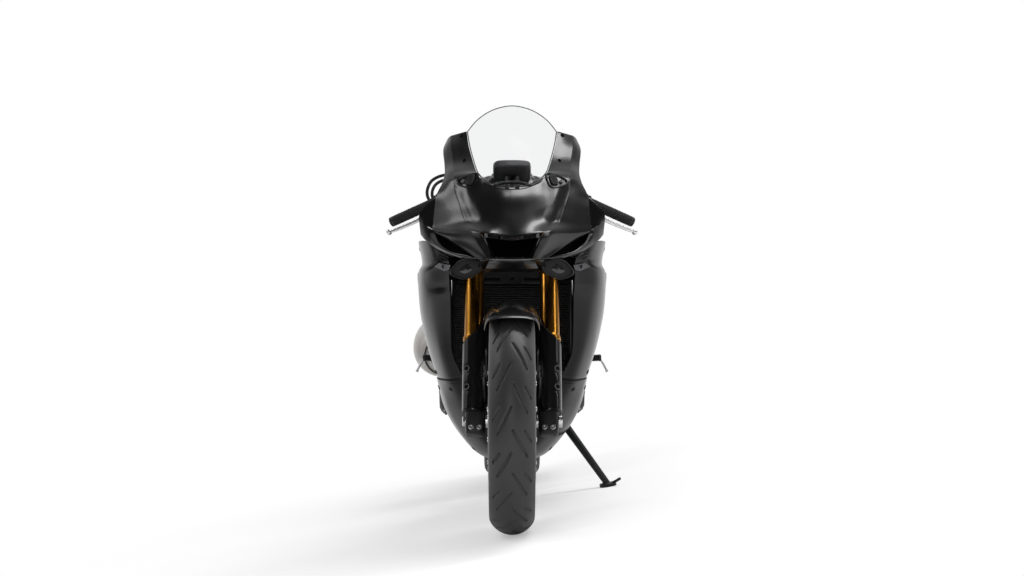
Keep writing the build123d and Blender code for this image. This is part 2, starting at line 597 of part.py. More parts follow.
HOOD = (
    ((0, 49, 920), (30, 53, 922), (55, 66, 930), (75, 84, 940), (88, 102, 955), (121, 115, 957), (158, 135, 952)),
    ((0, 20, 891), (28, 24, 894), (54, 36, 900), (75, 49, 906), (95, 63, 912), (123, 80, 915), (148, 102, 913)),
    ((0, -7, 858), (28, -3, 861), (52, 7, 866), (73, 18, 871), (93, 30, 875), (113, 44, 876), (130, 59, 874)),
    ((0, -38, 822), (26, -35, 824), (46, -28, 828), (63, -19, 831), (79, -10, 833), (95, 2, 833), (110, 15, 831)),
    ((0, -65, 789), (22, -65, 792), (42, -64, 795), (57, -62, 798), (69, -58, 800), (78, -53, 801), (85, -48, 801)),
)
SIDE = (
    ((158, 135, 952), (176, 149, 947), (192, 164, 941)),
    ((148, 102, 913), (179, 122, 911), (207, 142, 906)),
    ((130, 59, 874), (172, 93, 871), (211, 128, 868)),
    ((110, 15, 831), (164, 64, 832), (214, 114, 831)),
    ((85, -48, 801), (150, 30, 802), (212, 104, 811)),
    ((67, -67, 765), (112, -12, 768), (160, 46, 780)),
    ((53, -77, 730), (71, -62, 729), (90, -42, 730)),
)
WING = (
    ((207, 142, 906), (208, 143, 905), (210, 144, 904)),
    ((211, 128, 868), (230, 130, 868), (247, 134, 866)),
    ((214, 114, 831), (235, 124, 832), (254, 138, 832)),
    ((212, 104, 811), (233, 120, 812), (253, 140, 815)),
)
LIP = (
    ((90, -42, 730), (122, -5, 738), (152, 30, 750), (176, 58, 768), (194, 80, 790), (212, 104, 811), (233, 120, 812),
     (253, 140, 815)),
    ((71, -62, 729), (124, 4, 729), (155, 40, 738), (180, 68, 745), (205, 92, 753), (220, 112, 762), (233, 130, 776),
     (243, 148, 791)),
)
FAIRING = (
    ((206, 172, 770), (238, 214, 784), (262, 300, 785), (264, 420, 777), (240, 560, 764), (214, 625, 752)),
    ((176, 152, 735), (216, 184, 732), (249, 272, 728), (254, 410, 716), (236, 575, 696), (212, 655, 684)),
    ((172, 160, 704), (232, 202, 698), (262, 292, 693), (264, 425, 680), (242, 590, 656), (214, 676, 640)),
    ((170, 200, 622), (222, 226, 612), (257, 316, 602), (262, 440, 592), (240, 610, 578), (210, 702, 566)),
    ((170, 240, 528), (212, 258, 526), (245, 344, 524), (250, 466, 518), (232, 620, 506), (206, 706, 496)),
    ((166, 278, 466), (200, 292, 465), (230, 374, 461), (236, 470, 456), (228, 570, 450), (216, 632, 446)),
    ((138, 334, 400), (178, 344, 396), (208, 410, 396), (218, 470, 398), (219, 530, 400), (215, 566, 400)),
)
BELLY = (
    ((138, 336, 394), (178, 346, 390), (208, 412, 390), (218, 470, 392), (219, 530, 394), (215, 562, 394)),
    ((104, 384, 330), (146, 394, 326), (186, 454, 322), (202, 510, 322), (206, 550, 324), (204, 576, 326)),
    ((80, 410, 284), (122, 418, 280), (164, 484, 276), (182, 540, 272), (184, 580, 270), (180, 612, 268)),
    ((56, 434, 236), (98, 444, 230), (140, 520, 224), (154, 600, 220), (154, 690, 216), (146, 780, 212)),
    ((34, 462, 190), (58, 470, 182), (92, 548, 170), (104, 640, 162), (104, 720, 158), (98, 790, 158)),
    ((0.5, 486, 156), (20, 490, 152), (36, 570, 138), (42, 650, 132), (40, 730, 130), (34, 800, 134)),
)


def full(grid):
    """A half grid with its mirror image, as one grid across the machine."""
    return [[(-x, y, z) for x, y, z in row[:0:-1]] + list(row) for row in grid]


def make_screen():
    add("windscreen", sheet([full(SCREEN)], 3.0))


def inset(grid, gap, top=True):
    """The grid with its outer columns, and its top row if asked, drawn in to leave a seam."""
    rows = [[Vector(*p) for p in row] for row in grid]
    for row in rows:
        for edge, inner in ((0, 1), (-1, -2)):
            row[edge] += (row[inner] - row[edge]).normalized() * gap
    if top:
        rows[0] = [p + (q - p).normalized() * gap for p, q in zip(rows[0], rows[1])]
    return [[tuple(p) for p in row] for row in rows]


def make_cowl():
    add("nose_cowl", sheet([inset(full(HOOD), COWL_SEAM)], PANEL))
    for side, name in ((1, "cowl_left"), (-1, "cowl_right")):
        add(name, sheet([ARM, SIDE, WING, LIP], PANEL, mirror=side < 0))


def make_fairings():
    for side, name in ((1, "side_fairing_left"), (-1, "side_fairing_right")):
        add(name, sheet([FAIRING], PANEL, mirror=side < 0))
    for side, name in ((1, "belly_pan_left"), (-1, "belly_pan_right")):
        add(name, sheet([BELLY], PANEL, mirror=side < 0))


def make_front_fittings():
    mouth = skin([[(72, -52, 787), (-72, -52, 787), (-47, -64, 735), (47, -64, 735)],
                  [(58, 92, 787), (-58, 92, 787), (-42, 92, 741), (42, 92, 741)]])
    hollow = skin([[(69, -56, 784), (-69, -56, 784), (-45, -68, 738), (45, -68, 738)],
                   [(55, 89, 784), (-55, 89, 784), (-40, 89, 744), (40, 89, 744)]])
    add("air_intake", mouth - hollow)
    for side in (1, -1):
        lamp = rod((side * 122, 16, 703), (side * 122, 72, 703), 28, 23)
        lamp += cross_rod(side * 88, side * 156, 52, 703, 18)
        add("headlights", lamp)
    chin = skin([[(50, -70, 728), (-50, -70, 728), (-58, -40, 704), (58, -40, 704)],
                 [(76, 62, 728), (-76, 62, 728), (-76, 62, 700), (76, 62, 700)]])
    add("chin_panel", chin)
    dash = Pos(0, 172, 972) * Rot(-50, 0, 0) * Box(104, 66, 26)
    stay = beam([(0, 168, 964, 40, 26), (0, 140, 880, 30, 22), (0, 80, 800, 30, 22)])
    add("instrument_panel", dash + stay)


# tank columns: y, half-width, lowest z, z of the widest line, top z
TANK = ((388, 96, 812, 846, 902), (420, 132, 804, 862, 944), (470, 158, 790, 870, 976), (540, 168, 766, 866, 986),
        (620, 160, 740, 846, 976), (700, 138, 720, 822, 944), (760, 114, 716, 802, 906), (798, 92, 724, 790, 870))
# seat columns: y, half-width, lowest z, z of the widest line, top z
SEAT = ((799, 70, 800, 824, 848), (860, 84, 800, 822, 846), (940, 116, 800, 824, 846), (1020, 132, 806, 836, 856),
        (1084, 128, 818, 852, 878), (1112, 116, 836, 872, 900))
PILLION = ((1122, 74, 902, 926, 944), (1180, 92, 906, 934, 958), (1270, 84, 916, 946, 974), (1360, 66, 934, 964, 990),
           (1400, 50, 946, 974, 992))
# tail columns: y, half-width, lowest z, z of the widest line, top z
TAIL = ((1113, 126, 806, 848, 880), (1130, 132, 808, 858, 898), (1200, 130, 826, 878, 902), (1300, 118, 856, 902, 912),
        (1400, 98, 886, 930, 942), (1450, 88, 904, 948, 990), (1540, 70, 934, 970, 1008), (1640, 48, 966, 990, 1012),
        (1690, 30, 984, 1000, 1012))


def make_upper_body():
    tank = skin([oval_ring(*row) for row in TANK])
    well = Pos(CAP_CENTRE[0], CAP_CENTRE[1], 0) * Cylinder(62, 60, align=(Align.CENTER, Align.CENTER, Align.MIN))
    tank -= Pos(0, 0, 978) * well
    ring = rod((0, CAP_CENTRE[1], 976), (0, CAP_CENTRE[1], 984.5), 58)
    ring -= rod((0, CAP_CENTRE[1], 950), (0, CAP_CENTRE[1], 990), 30)
    tank -= rod((0, CAP_CENTRE[1], 950), (0, CAP_CENTRE[1], 990), 30)
    ring += box(-9, 9, CAP_HINGE[1] - 4, CAP_HINGE[1] + 4, 980, 991)
    ring -= cross_rod(-20, 20, CAP_HINGE[1], CAP_HINGE[2], 6.2)
    add("fuel_tank", tank + ring)
    cap = rod((0, CAP_CENTRE[1], 985), (0, CAP_CENTRE[1], 994), 36)
    cap += box(-8, 8, CAP_HINGE[1], CAP_CENTRE[1] - 20, 988, 993)
    cap += cross_rod(-8, 8, CAP_HINGE[1], CAP_HINGE[2], 3.5)
    cap += rod((0, CAP_CENTRE[1], 968), (0, CAP_CENTRE[1], 985.5), 20)
    add("fuel_cap", cap)
    add("rider_seat", skin([oval_ring(*row) for row in SEAT]))
    add("pillion_seat", skin([oval_ring(*row) for row in PILLION]))
    tail = skin([oval_ring(*row) for row in TAIL])
    add("tail_cowl", tail)
    lamp = skin([oval_ring(y, w, lo, mid, hi) for y, w, lo, mid, hi in
                 ((1690.5, 24, 987, 998, 1008), (1702, 20, 990, 998, 1006))])
    add("tail_lamp", lamp)
    for side in (1, -1):
        rail = beam([(side * 118.4, 692, 582, 18, 34), (side * 118.4, 738, 618, 18, 34), (side * 106, 812, 706, 18, 32),
                     (side * 104, 940, 760, 16, 30), (side * 92, 1080, 776, 16, 28), (side * 88, 1160, 804, 14, 24),
                     (side * 84, 1250, 836, 12, 20)])
        low = beam([(side * 115.4, 836, 464, 14, 26), (side * 115.4, 868, 522, 14, 26), (side * 106, 908, 578, 14, 26),
                    (side * 104, 1000, 660, 14, 24), (side * 92, 1060, 762, 14, 22)])
        add("subframe", rail + low)
    under = skin([oval_ring(y, w, lo, mid, hi) for y, w, lo, mid, hi in
                  ((1060, 70, 730, 760, 792), (1200, 66, 770, 798, 820), (1340, 50, 826, 846, 862))])
    add("undertray", under)


# ---- foot controls, stand, guard --------------------------------------------------------------------
def make_foot_controls():
    for side, name in ((1, "footrest_left"), (-1, "footrest_right")):
        plate = skin([[(side * x, y, z) for y, z in ((880, 470), (912, 478), (968, 446), (985, 410), (960, 392), (884, 420))]
                      for x in (156.0, 164.0)])
        stay = rod((side * 153.4, 868, 452), (side * 160, 894, 446), 8)
        peg = rod((side * 160, 956, 430), (side * 282, 966, 434), 11)
        feeler = rod((side * 272, 966, 434), (side * 300, 968, 392), 3.5)
        pedal_y = 800 if side > 0 else 812
        pedal = rod((side * 164, 905, 430), (side * 176, 905, 430), 9)
        pedal += rod((side * 170, 905, 430), (side * 176, pedal_y, 410), 6)
        pedal += rod((side * 172, pedal_y, 410), (side * 222, pedal_y, 410), 7.5)
        add(name, plate + stay + peg + feeler + pedal)


def stand_frame():
    """Deployed direction, folded direction, hinge axis and travel of the side stand."""
    foot_z = STAND_FOOT[0] * math.tan(math.radians(LEAN)) + (STAND_FOOT_HALF - LEAN_SINK) / math.cos(math.radians(LEAN))
    down = Vector(STAND_FOOT[0], STAND_FOOT[1], foot_z) - Vector(*STAND_PIVOT)
    folded = Vector(*STAND_FOLDED).normalized()
    axis = down.cross(folded).normalized()
    travel = down.get_angle(folded)
    return down, folded, axis, travel


def make_stand():
    down, folded, axis, travel = stand_frame()
    pivot = Vector(*STAND_PIVOT)
    foot = pivot + down
    lean = math.radians(LEAN)
    leg = rod(tuple(pivot), tuple(foot), 13, 10)
    pad = Pos(*foot) * Rot(0, -LEAN, 0) * Cylinder(26, 2 * STAND_FOOT_HALF)
    hub = rod(tuple(pivot - axis * 13), tuple(pivot + axis * 13), 17)
    add("side_stand", leg + pad + hub - rod(tuple(pivot - axis * 30), tuple(pivot + axis * 30), 6.0 + RUN))
    bracket = rod(tuple(pivot - axis * 22), tuple(pivot - axis * 13.4), 20)
    bracket += rod(tuple(pivot - axis * 22), tuple(pivot + axis * 18), 6.0)
    bracket += rod(tuple(pivot + axis * 13.4), tuple(pivot + axis * 18), 10)
    bracket += beam([(116, 862, 280, 20, 20), (117, 834, 266, 14, 28), (117, 806, 244, 12, 30)])
    add("stand_bracket", bracket)


def make_guard():
    guard = beam([(CHAIN_X + 12, 905, 458, 22, 5), (CHAIN_X + 8, 1060, 470, 28, 5), (CHAIN_X + 8, 1240, 462, 26, 5),
                  (CHAIN_X + 8, 1330, 454, 26, 5)])
    add("chain_guard", guard)


def parked():
    """The placing that leans the machine onto its stand and puts the origin under its middle, on the floor."""
    lean = Location((0, 0, 0), (0, LEAN, 0))
    boxes = [piece.moved(lean).bounding_box() for pieces in NODES.values() for piece in pieces]
    low = [min(tuple(b.min)[k] for b in boxes) for k in range(3)]
    high = [max(tuple(b.max)[k] for b in boxes) for k in range(3)]
    return Location((-(low[0] + high[0]) / 2, -(low[1] + high[1]) / 2, -low[2])) * lean


def build():
    """Makes every node."""
    make_front_wheel()
    make_rear_wheel()
    make_fork()
    make_clamps()
    make_bars()
    make_fender()
    make_front_calipers()
    make_hoses()
    make_frame()
    make_engine()
    make_radiator()
    make_exhaust()
    make_swingarm()
    make_shock()
    make_chain()
    make_rear_caliper()
    make_screen()
    make_cowl()
    make_fairings()
    make_front_fittings()
    make_upper_body()
    make_foot_controls()
    make_stand()
    make_guard()
    return NODES


def main():
    os.makedirs("parts", exist_ok=True)
    nodes = build()
    where = parked()
    for name, shapes in nodes.items():
        placed = [solid.moved(where) for shape in shapes for solid in shape.solids()]
        whole = placed[0] if len(placed) == 1 else Compound(children=placed)
        export_step(whole, f"parts/{name}.step")


if __name__ == "__main__":
    main()
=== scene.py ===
"""Dresses the parked sport motorcycle: smooth bodywork, tyres with tread, castings, trim and finishes.

Every shape is worked out in the bike's own upright frame, in millimetres: X to the rider's left, Y rearwards
from the front axle, Z up from the ground. Bike.place() then leans it as the frame is parked.
"""
import json
import logging
import math
from collections.abc import Callable
from dataclasses import dataclass
from enum import Enum

import bmesh
import bpy
import numpy as np

from mathutils import Matrix, Vector


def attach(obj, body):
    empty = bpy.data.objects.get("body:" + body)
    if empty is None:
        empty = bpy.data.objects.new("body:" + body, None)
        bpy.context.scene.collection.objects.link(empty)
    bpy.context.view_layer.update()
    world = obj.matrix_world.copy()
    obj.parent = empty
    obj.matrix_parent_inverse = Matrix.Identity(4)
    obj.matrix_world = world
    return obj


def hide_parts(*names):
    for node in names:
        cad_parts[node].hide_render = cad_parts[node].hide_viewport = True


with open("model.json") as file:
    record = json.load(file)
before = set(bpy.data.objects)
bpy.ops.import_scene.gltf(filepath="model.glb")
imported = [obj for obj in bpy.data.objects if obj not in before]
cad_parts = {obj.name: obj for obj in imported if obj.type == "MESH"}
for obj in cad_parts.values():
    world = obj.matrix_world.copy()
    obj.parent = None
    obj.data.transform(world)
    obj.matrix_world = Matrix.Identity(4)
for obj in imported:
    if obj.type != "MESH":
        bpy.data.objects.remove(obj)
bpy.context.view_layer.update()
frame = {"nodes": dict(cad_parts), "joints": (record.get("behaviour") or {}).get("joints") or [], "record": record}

log = logging.getLogger("sport_bike")
Array = np.ndarray

SLOTS = {part["node"]: part["material_slot"] for part in frame["record"]["subparts"]}
MM = 1000.0  # in a metre
# the upright bike: wheels, the fork's rake and the middle of its legs, the chain's line, the panels' thickness
FRONT_R = 300.0
FRONT_AXLE, REAR_AXLE = (0.0, 0.0, FRONT_R), (0.0, 1375.0, 315.74)
RAKE = math.radians(24.0)
FORK_HALF = 103.0
CHAIN_X = 102.0
SPROCKET_R = 113.8
PANEL_WALL = 3.4
SIDES = (1.0, -1.0)
MIRROR = np.array([-1.0, 1.0, 1.0])
UP, ACROSS, BACK = np.array([0.0, 0.0, 1.0]), np.array([1.0, 0.0, 0.0]), np.array([0.0, 1.0, 0.0])
# what the finishes share: the slow noise's scale, the coat's roughness and the screen's refraction
SLOW_SCALE = 14.0
COAT_ROUGH = 0.08
SCREEN_IOR = 1.04


class Body(Enum):
    """The moving bodies of the frame."""

    CHASSIS = "chassis"
    STEERING = "steering"
    FRONT_WHEEL = "front_wheel"
    REAR_WHEEL = "rear_wheel"
    STAND = "side_stand"
    CAP = "fuel_cap"


# ---- the bike's frame -------------------------------------------------------------------------------
class Bike:
    """The upright frame's place in the row frame, read from the wheel joints."""

    def __init__(self, joints: list[dict]) -> None:
        """Reads the lean and the offset from the front wheel's joint.

        Args:
            joints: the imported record's joints.
        """
        wheel = next(j for j in joints if j["name"] == "front_wheel_spin")
        ax, _, az = wheel["axis"]
        self.lean = math.atan2(-az, ax)
        c, s = math.cos(self.lean), math.sin(self.lean)
        self.turn = np.array([[c, 0.0, s], [0.0, 1.0, 0.0], [-s, 0.0, c]])
        self.shift = np.array(wheel["pos_m"]) * MM - self.turn @ np.array(FRONT_AXLE)

    def place(self, points: Array) -> Array:
        """Upright millimetres to row-frame metres: turn about Y by the lean, then shift."""
        return (np.asarray(points, float) @ self.turn.T + self.shift) / MM


BIKE = Bike(frame["joints"])


def local(origin: Array, across: Array, along: Array, out: Array) -> Callable[[Array], Array]:
    """A place's own coordinates: the origin plus each coordinate times its direction.

    Args:
        origin: where the place's coordinates start, upright.
        across: first direction.
        along: second direction.
        out: third direction.

    Returns:
        The function from the place's points to upright ones.
    """
    axes = np.array([across, along, out], float)
    return lambda points: np.asarray(points, float) @ axes + np.asarray(origin, float)


def tilted(origin: Array, degrees: float) -> Callable[[Array], Array]:
    """Coordinates across, along and out, turned about X by an angle."""
    c, s = math.cos(math.radians(degrees)), math.sin(math.radians(degrees))
    return local(origin, ACROSS, (0.0, c, s), (0.0, -s, c))


def radial(turn: float) -> tuple[Array, Array]:
    """Unit directions away from an axle and round it, at a share of a turn from the top."""
    c, s = math.cos(2 * math.pi * turn), math.sin(2 * math.pi * turn)
    return np.array([0, s, c]), np.array([0, c, -s])


def angles(count: int, shift: float = 0.0) -> Array:
    """Angles evenly round a turn, the first at the shift times their step."""
    return 2 * math.pi * (np.arange(count) + shift) / count


# the fork's own coordinates: across, behind the leg, up from the axle
FORK_BACK = np.array([0.0, math.cos(RAKE), -math.sin(RAKE)])
FORK_UP = np.array([0.0, math.sin(RAKE), math.cos(RAKE)])
fork = local(FRONT_AXLE, ACROSS, FORK_BACK, FORK_UP)


# ---- surfaces ---------------------------------------------------------------------------------------
def weights(count: int, per: int, closed: bool = False) -> Array:
    """Catmull-Rom weights: each sample is the cubic through its two neighbours, with their mean slopes.

    Args:
        count: control points.
        per: samples in each span.
        closed: whether the last point runs on to the first.

    Returns:
        A samples by count matrix.
    """
    spans = count if closed else count - 1
    t = np.arange(spans * per + (0 if closed else 1)) / per
    k = np.minimum(t.astype(int), spans - 1)
    f = t - k
    cubic = np.stack([-0.5 * f + f**2 - 0.5 * f**3, 1 - 2.5 * f**2 + 1.5 * f**3,
                      0.5 * f + 2 * f**2 - 1.5 * f**3, -0.5 * f**2 + 0.5 * f**3], -1)
    rows = np.arange(len(t))
    out = np.zeros((len(t), count))
    for step in range(4):
        index = k + step - 1
        share = cubic[:, step]
        if closed:
            np.add.at(out, (rows, index % count), share)
            continue
        inside = (index >= 0) & (index < count)
        np.add.at(out, (rows[inside], index[inside]), share[inside])
        for beyond, near, far in ((index < 0, 0, 1), (index >= count, count - 1, count - 2)):
            np.add.at(out, (rows[beyond], near), 2 * share[beyond])
            np.add.at(out, (rows[beyond], far), -share[beyond])
    return out


def smooth(net: Array, per: int = 6, across: int = 0, closed: bool = False) -> Array:
    """Surface through a net of points: Catmull-Rom down the rows, then along the columns.

    Args:
        net: rows by columns by 3.
        per: samples in each span down the rows.
        across: samples in each span along the columns, or 0 for the same.
        closed: whether the columns close into rings.

    Returns:
        The finer grid.
    """
    net = np.asarray(net, float)
    return np.einsum("ir,jc,rck->ijk", weights(len(net), per), weights(net.shape[1], across or per, closed), net)


def curve(points: Array, per: int = 8, closed: bool = False) -> Array:
    """Smooth line through the points, by the same weights."""
    return weights(len(points), per, closed) @ np.asarray(points, float)


def pull(grid: Array, target: Array, first: bool = False) -> Array:
    """Moves one edge of a grid onto a target line; the rest follows by the square of its nearness.

    Args:
        grid: rows by columns by 3.
        target: the points that the edge takes.
        first: whether the edge is the first column, not the last row.

    Returns:
        The grid that meets the target.
    """
    flipped = np.swapaxes(grid, 0, 1)[::-1] if first else grid
    near = (np.arange(len(flipped)) / (len(flipped) - 1)) ** 2
    moved = flipped + near[:, None, None] * (target - flipped[-1])
    return np.swapaxes(moved[::-1], 0, 1) if first else moved


def mirrored(grid: Array) -> Array:
    """The grid on the machine's other side, its columns reversed so that its faces still point outwards."""
    return np.asarray(grid, float)[:, ::-1] * MIRROR


def sided(grid: Array, side: float) -> Array:
    """The left side's grid, mirrored for the right side."""
    return grid if side > 0 else mirrored(grid)


def whole(net: Array) -> Array:
    """A left half net with its mirror image, as one net across the machine."""
    net = np.asarray(net, float)
    return np.concatenate([(net * MIRROR)[:, :0:-1], net], 1)


def arc(a: Array, b: Array, c: Array, count: int) -> Array:
    """Points evenly along the circle through three points of a plane, whose middle solves two equal distances.

    Args:
        a: first point.
        b: a point between.
        c: last point.
        count: how many points.

    Returns:
        The points, count by 2.
    """
    (ax, ay), (bx, by), (cx, cy) = a, b, c
    d = 2 * (ax * (by - cy) + bx * (cy - ay) + cx * (ay - by))
    ux = ((ax**2 + ay**2) * (by - cy) + (bx**2 + by**2) * (cy - ay) + (cx**2 + cy**2) * (ay - by)) / d
    uy = ((ax**2 + ay**2) * (cx - bx) + (bx**2 + by**2) * (ax - cx) + (cx**2 + cy**2) * (bx - ax)) / d
    start, mid, end = (math.atan2(y - uy, x - ux) for x, y in (a, b, c))
    mid = start + (mid - start + math.pi) % (2 * math.pi) - math.pi
    end = mid + (end - mid + math.pi) % (2 * math.pi) - math.pi
    angle = np.linspace(start, end, count)
    radius = math.hypot(ax - ux, ay - uy)
    return np.stack([ux + radius * np.cos(angle), uy + radius * np.sin(angle)], -1)


def basis(axis: Array) -> tuple[Array, Array, Array]:
    """The unit axis and two unit directions square to it and to each other."""
    axis = np.asarray(axis, float) / np.linalg.norm(axis)
    u = np.cross(axis, UP if abs(axis[2]) < 0.9 else ACROSS)
    u /= np.linalg.norm(u)
    return axis, u, np.cross(axis, u)


def tube(path: Array, radius: float | Array, sides: int = 14, squash: float = 1.0) -> Array:
    """Grid of a tube: at each path point, a circle in the plane of two normals carried along the path.

    Each normal is the last one less its part along the tangent, so the tube never twists.

    Args:
        path: points of the middle line.
        radius: one radius, or one for each point.
        sides: points of each circle.
        squash: the second normal's share of the radius.

    Returns:
        One ring for each point of the path.
    """
    path = np.asarray(path, float)
    tangent = np.gradient(path, axis=0)
    tangent /= np.linalg.norm(tangent, axis=1, keepdims=True)
    normal = [basis(tangent[0])[1]]
    for t in tangent[1:]:
        n = normal[-1] - t * np.dot(normal[-1], t)
        normal.append(n / np.linalg.norm(n))
    first = np.array(normal)
    second = np.cross(tangent, first)
    angle = angles(sides)[None, :, None]
    r = np.broadcast_to(np.asarray(radius, float), (len(path),))[:, None, None]
    return path[:, None] + r * (np.cos(angle) * first[:, None] + squash * np.sin(angle) * second[:, None])


def turned(profile: Array, centre: Array, axis: Array, sides: int = 40) -> Array:
    """Grid of a turned shape: each profile point goes round the axis in a circle.

    Args:
        profile: place along the axis and radius of each ring.
        centre: where the axis starts.
        axis: its direction.
        sides: points of each ring.

    Returns:
        One ring for each point of the profile.
    """
    profile = np.asarray(profile, float)
    axis, u, v = basis(axis)
    angle = angles(sides)[:, None]
    ring = np.cos(angle) * u + np.sin(angle) * v
    return np.asarray(centre, float) + profile[:, None, :1] * axis + profile[:, None, 1:] * ring[None]


def oval(power: float, sides: int) -> Array:
    """Closed unit outline: cosine and sine, each to the power 2/p with its own sign."""
    c, s = np.cos(angles(sides, 0.5)), np.sin(angles(sides, 0.5))
    return np.stack([np.sign(c) * np.abs(c) ** (2 / power), np.sign(s) * np.abs(s) ** (2 / power)], -1)


def sections(axis: int, outline: Array, middle: Array, stations: Array) -> Array:
    """Rings of one flat outline along an axis: the middle plus the outline times the station's scale.

    Args:
        axis: the axis that the rings lie across: 0, 1 or 2.
        outline: the closed outline in the other two coordinates.
        middle: its middle in those two.
        stations: place along the axis, and the scale or both scales, for each ring.

    Returns:
        One ring for each station.
    """
    rows = np.asarray(stations, float)[:, None]
    flat = np.asarray(middle, float) + rows[..., 1:] * outline
    parts = [flat[..., 0], flat[..., 1]]
    parts.insert(axis, np.broadcast_to(rows[..., 0], flat.shape[:2]))
    return np.stack(parts, -1)


def hull(table: Array, power: float = 2.6, sides: int = 64, per: int = 8) -> Array:
    """Rings across the machine along a table of y, half-width, lowest, widest and top heights.

    The table is interpolated by Catmull-Rom; each ring is the unit oval scaled by the half-width and by the
    reach above or below the widest height.

    Args:
        table: the stations.
        power: how square the ovals are, from 2 for round.
        sides: points of each ring.
        per: rings in each span.

    Returns:
        The rings.
    """
    y, half, low, wide, top = curve(np.asarray(table, float), per).T[:, :, None]
    outline = oval(power, sides)
    c, s = outline[None, :, 0], outline[None, :, 1]
    z = wide + np.where(s > 0, top - wide, wide - low) * s
    return np.stack([half * c, np.broadcast_to(y, z.shape), z], -1)


def gauss(distance: Array, width: float) -> Array:
    """Bell of height 1: e to the minus square of distance over width."""
    return np.exp(-((distance / width) ** 2))


def ramp(value: Array, low: float, high: float) -> Array:
    """Smooth step from 0 at low to 1 at high: 3t squared minus 2t cubed."""
    t = np.clip((value - low) / (high - low), 0.0, 1.0)
    return t * t * (3 - 2 * t)


# ---- finishes ---------------------------------------------------------------------------------------
class Nodes:
    """The nodes of a material or a world, with short ways to add and link them."""

    def __init__(self, owner: bpy.types.ID) -> None:
        """Turns the owner's nodes on."""
        owner.use_nodes = True
        self.tree = owner.node_tree

    def __getitem__(self, name: str) -> bpy.types.Node:
        """The node of that name."""
        return self.tree.nodes[name]

    def add(self, kind: str) -> bpy.types.Node:
        """Adds a shader node of that kind."""
        return self.tree.nodes.new("ShaderNode" + kind)

    def link(self, source: bpy.types.Node, output: str, target: bpy.types.Node, socket: str | int) -> None:
        """Links an output of one node to an input of another."""
        self.tree.links.new(source.outputs[output], target.inputs[socket])


def put(node: bpy.types.Node, **values: float | tuple[float, ...]) -> None:
    """Sets a node's inputs by name, with an underscore for each space."""
    for name, value in values.items():
        node.inputs[name.replace("_", " ")].default_value = value


class Grain(Enum):
    """What breaks a surface up close."""

    FINE = "fine"
    CAST = "cast"
    BRUSHED = "brushed"
    SPUN = "spun"
    LEATHER = "leather"
    GLASS = "glass"


@dataclass(frozen=True)
class Finish:
    """One surface finish; lengths are in metres, and the pattern reads Object coordinates."""

    name: str
    color: tuple[float, float, float]
    rough: float = 0.4
    metal: float = 0.0
    coat: float = 0.0
    level: float = 0.5
    grain: Grain = Grain.FINE
    spread: float = 0.25
    bump: float = 0.1
    size: float = 0.002
    tint: tuple[float, float, float] | None = None

    def material(self) -> bpy.types.Material:
        """The node material, made once for each finish.

        A slow noise mixes the colour with its tint and varies the roughness; a fine pattern, set by the
        grain, is the bump.

        Returns:
            The material.
        """
        found = bpy.data.materials.get(self.name)
        if found:
            return found
        mat = bpy.data.materials.new(self.name)
        nodes = Nodes(mat)
        shader, slow = nodes["Principled BSDF"], self._noise(nodes, SLOW_SCALE)
        mix, varied = nodes.add("Mix"), nodes.add("MapRange")
        mix.data_type = "RGBA"
        other = self.tint or tuple(min(1.0, c * 1.45 + 0.002) for c in self.color)
        put(mix, A=(*self.color, 1.0), B=(*other, 1.0))
        put(varied, To_Min=max(0.0, self.rough * (1 - self.spread)), To_Max=min(1.0, self.rough * (1 + self.spread)))
        put(shader, Metallic=self.metal, Specular_IOR_Level=self.level, Coat_Weight=self.coat,
            Coat_Roughness=COAT_ROUGH)
        nodes.link(slow, "Fac", mix, "Factor")
        nodes.link(mix, "Result", shader, "Base Color")
        nodes.link(slow, "Fac", varied, "Value")
        nodes.link(varied, "Result", shader, "Roughness")
        if self.grain is Grain.GLASS:
            put(shader, Transmission_Weight=1.0, IOR=SCREEN_IOR)
            return mat
        bump = nodes.add("Bump")
        put(bump, Strength=self.bump, Distance=self.size * 0.3)
        nodes.link(*self._pattern(nodes), bump, "Height")
        nodes.link(bump, "Normal", shader, "Normal")
        return mat

    @staticmethod
    def _noise(nodes: Nodes, scale: float, stretch: tuple[float, float, float] = (1, 1, 1),
               detail: float = 3.0) -> bpy.types.Node:
        """A noise texture of Object coordinates that a Mapping node stretches.

        Args:
            nodes: the material's nodes.
            scale: the noise's scale.
            stretch: factors of the coordinates.
            detail: the noise's detail.

        Returns:
            The texture's node.
        """
        coord, mapping, node = nodes.add("TexCoord"), nodes.add("Mapping"), nodes.add("TexNoise")
        put(mapping, Scale=stretch)
        put(node, Scale=scale, Detail=detail)
        nodes.link(coord, "Object", mapping, "Vector")
        nodes.link(mapping, "Vector", node, "Vector")
        return node

    def _pattern(self, nodes: Nodes) -> tuple[bpy.types.Node, str]:
        """The fine pattern to bump by: cells for leather, otherwise a noise that the grain stretches.

        Args:
            nodes: the material's nodes.

        Returns:
            The pattern's node and the name of its height output.
        """
        if self.grain is Grain.LEATHER:
            coord, cells = nodes.add("TexCoord"), nodes.add("TexVoronoi")
            cells.feature = "DISTANCE_TO_EDGE"
            put(cells, Scale=1.0 / self.size)
            nodes.link(coord, "Object", cells, "Vector")
            return cells, "Distance"
        stretch = {Grain.BRUSHED: (1.0, 0.04, 0.04), Grain.SPUN: (0.05, 1.0, 1.0)}.get(self.grain, (1, 1, 1))
        return self._noise(nodes, 1.0 / self.size, stretch, 6.0 if self.grain is Grain.CAST else 2.0), "Fac"


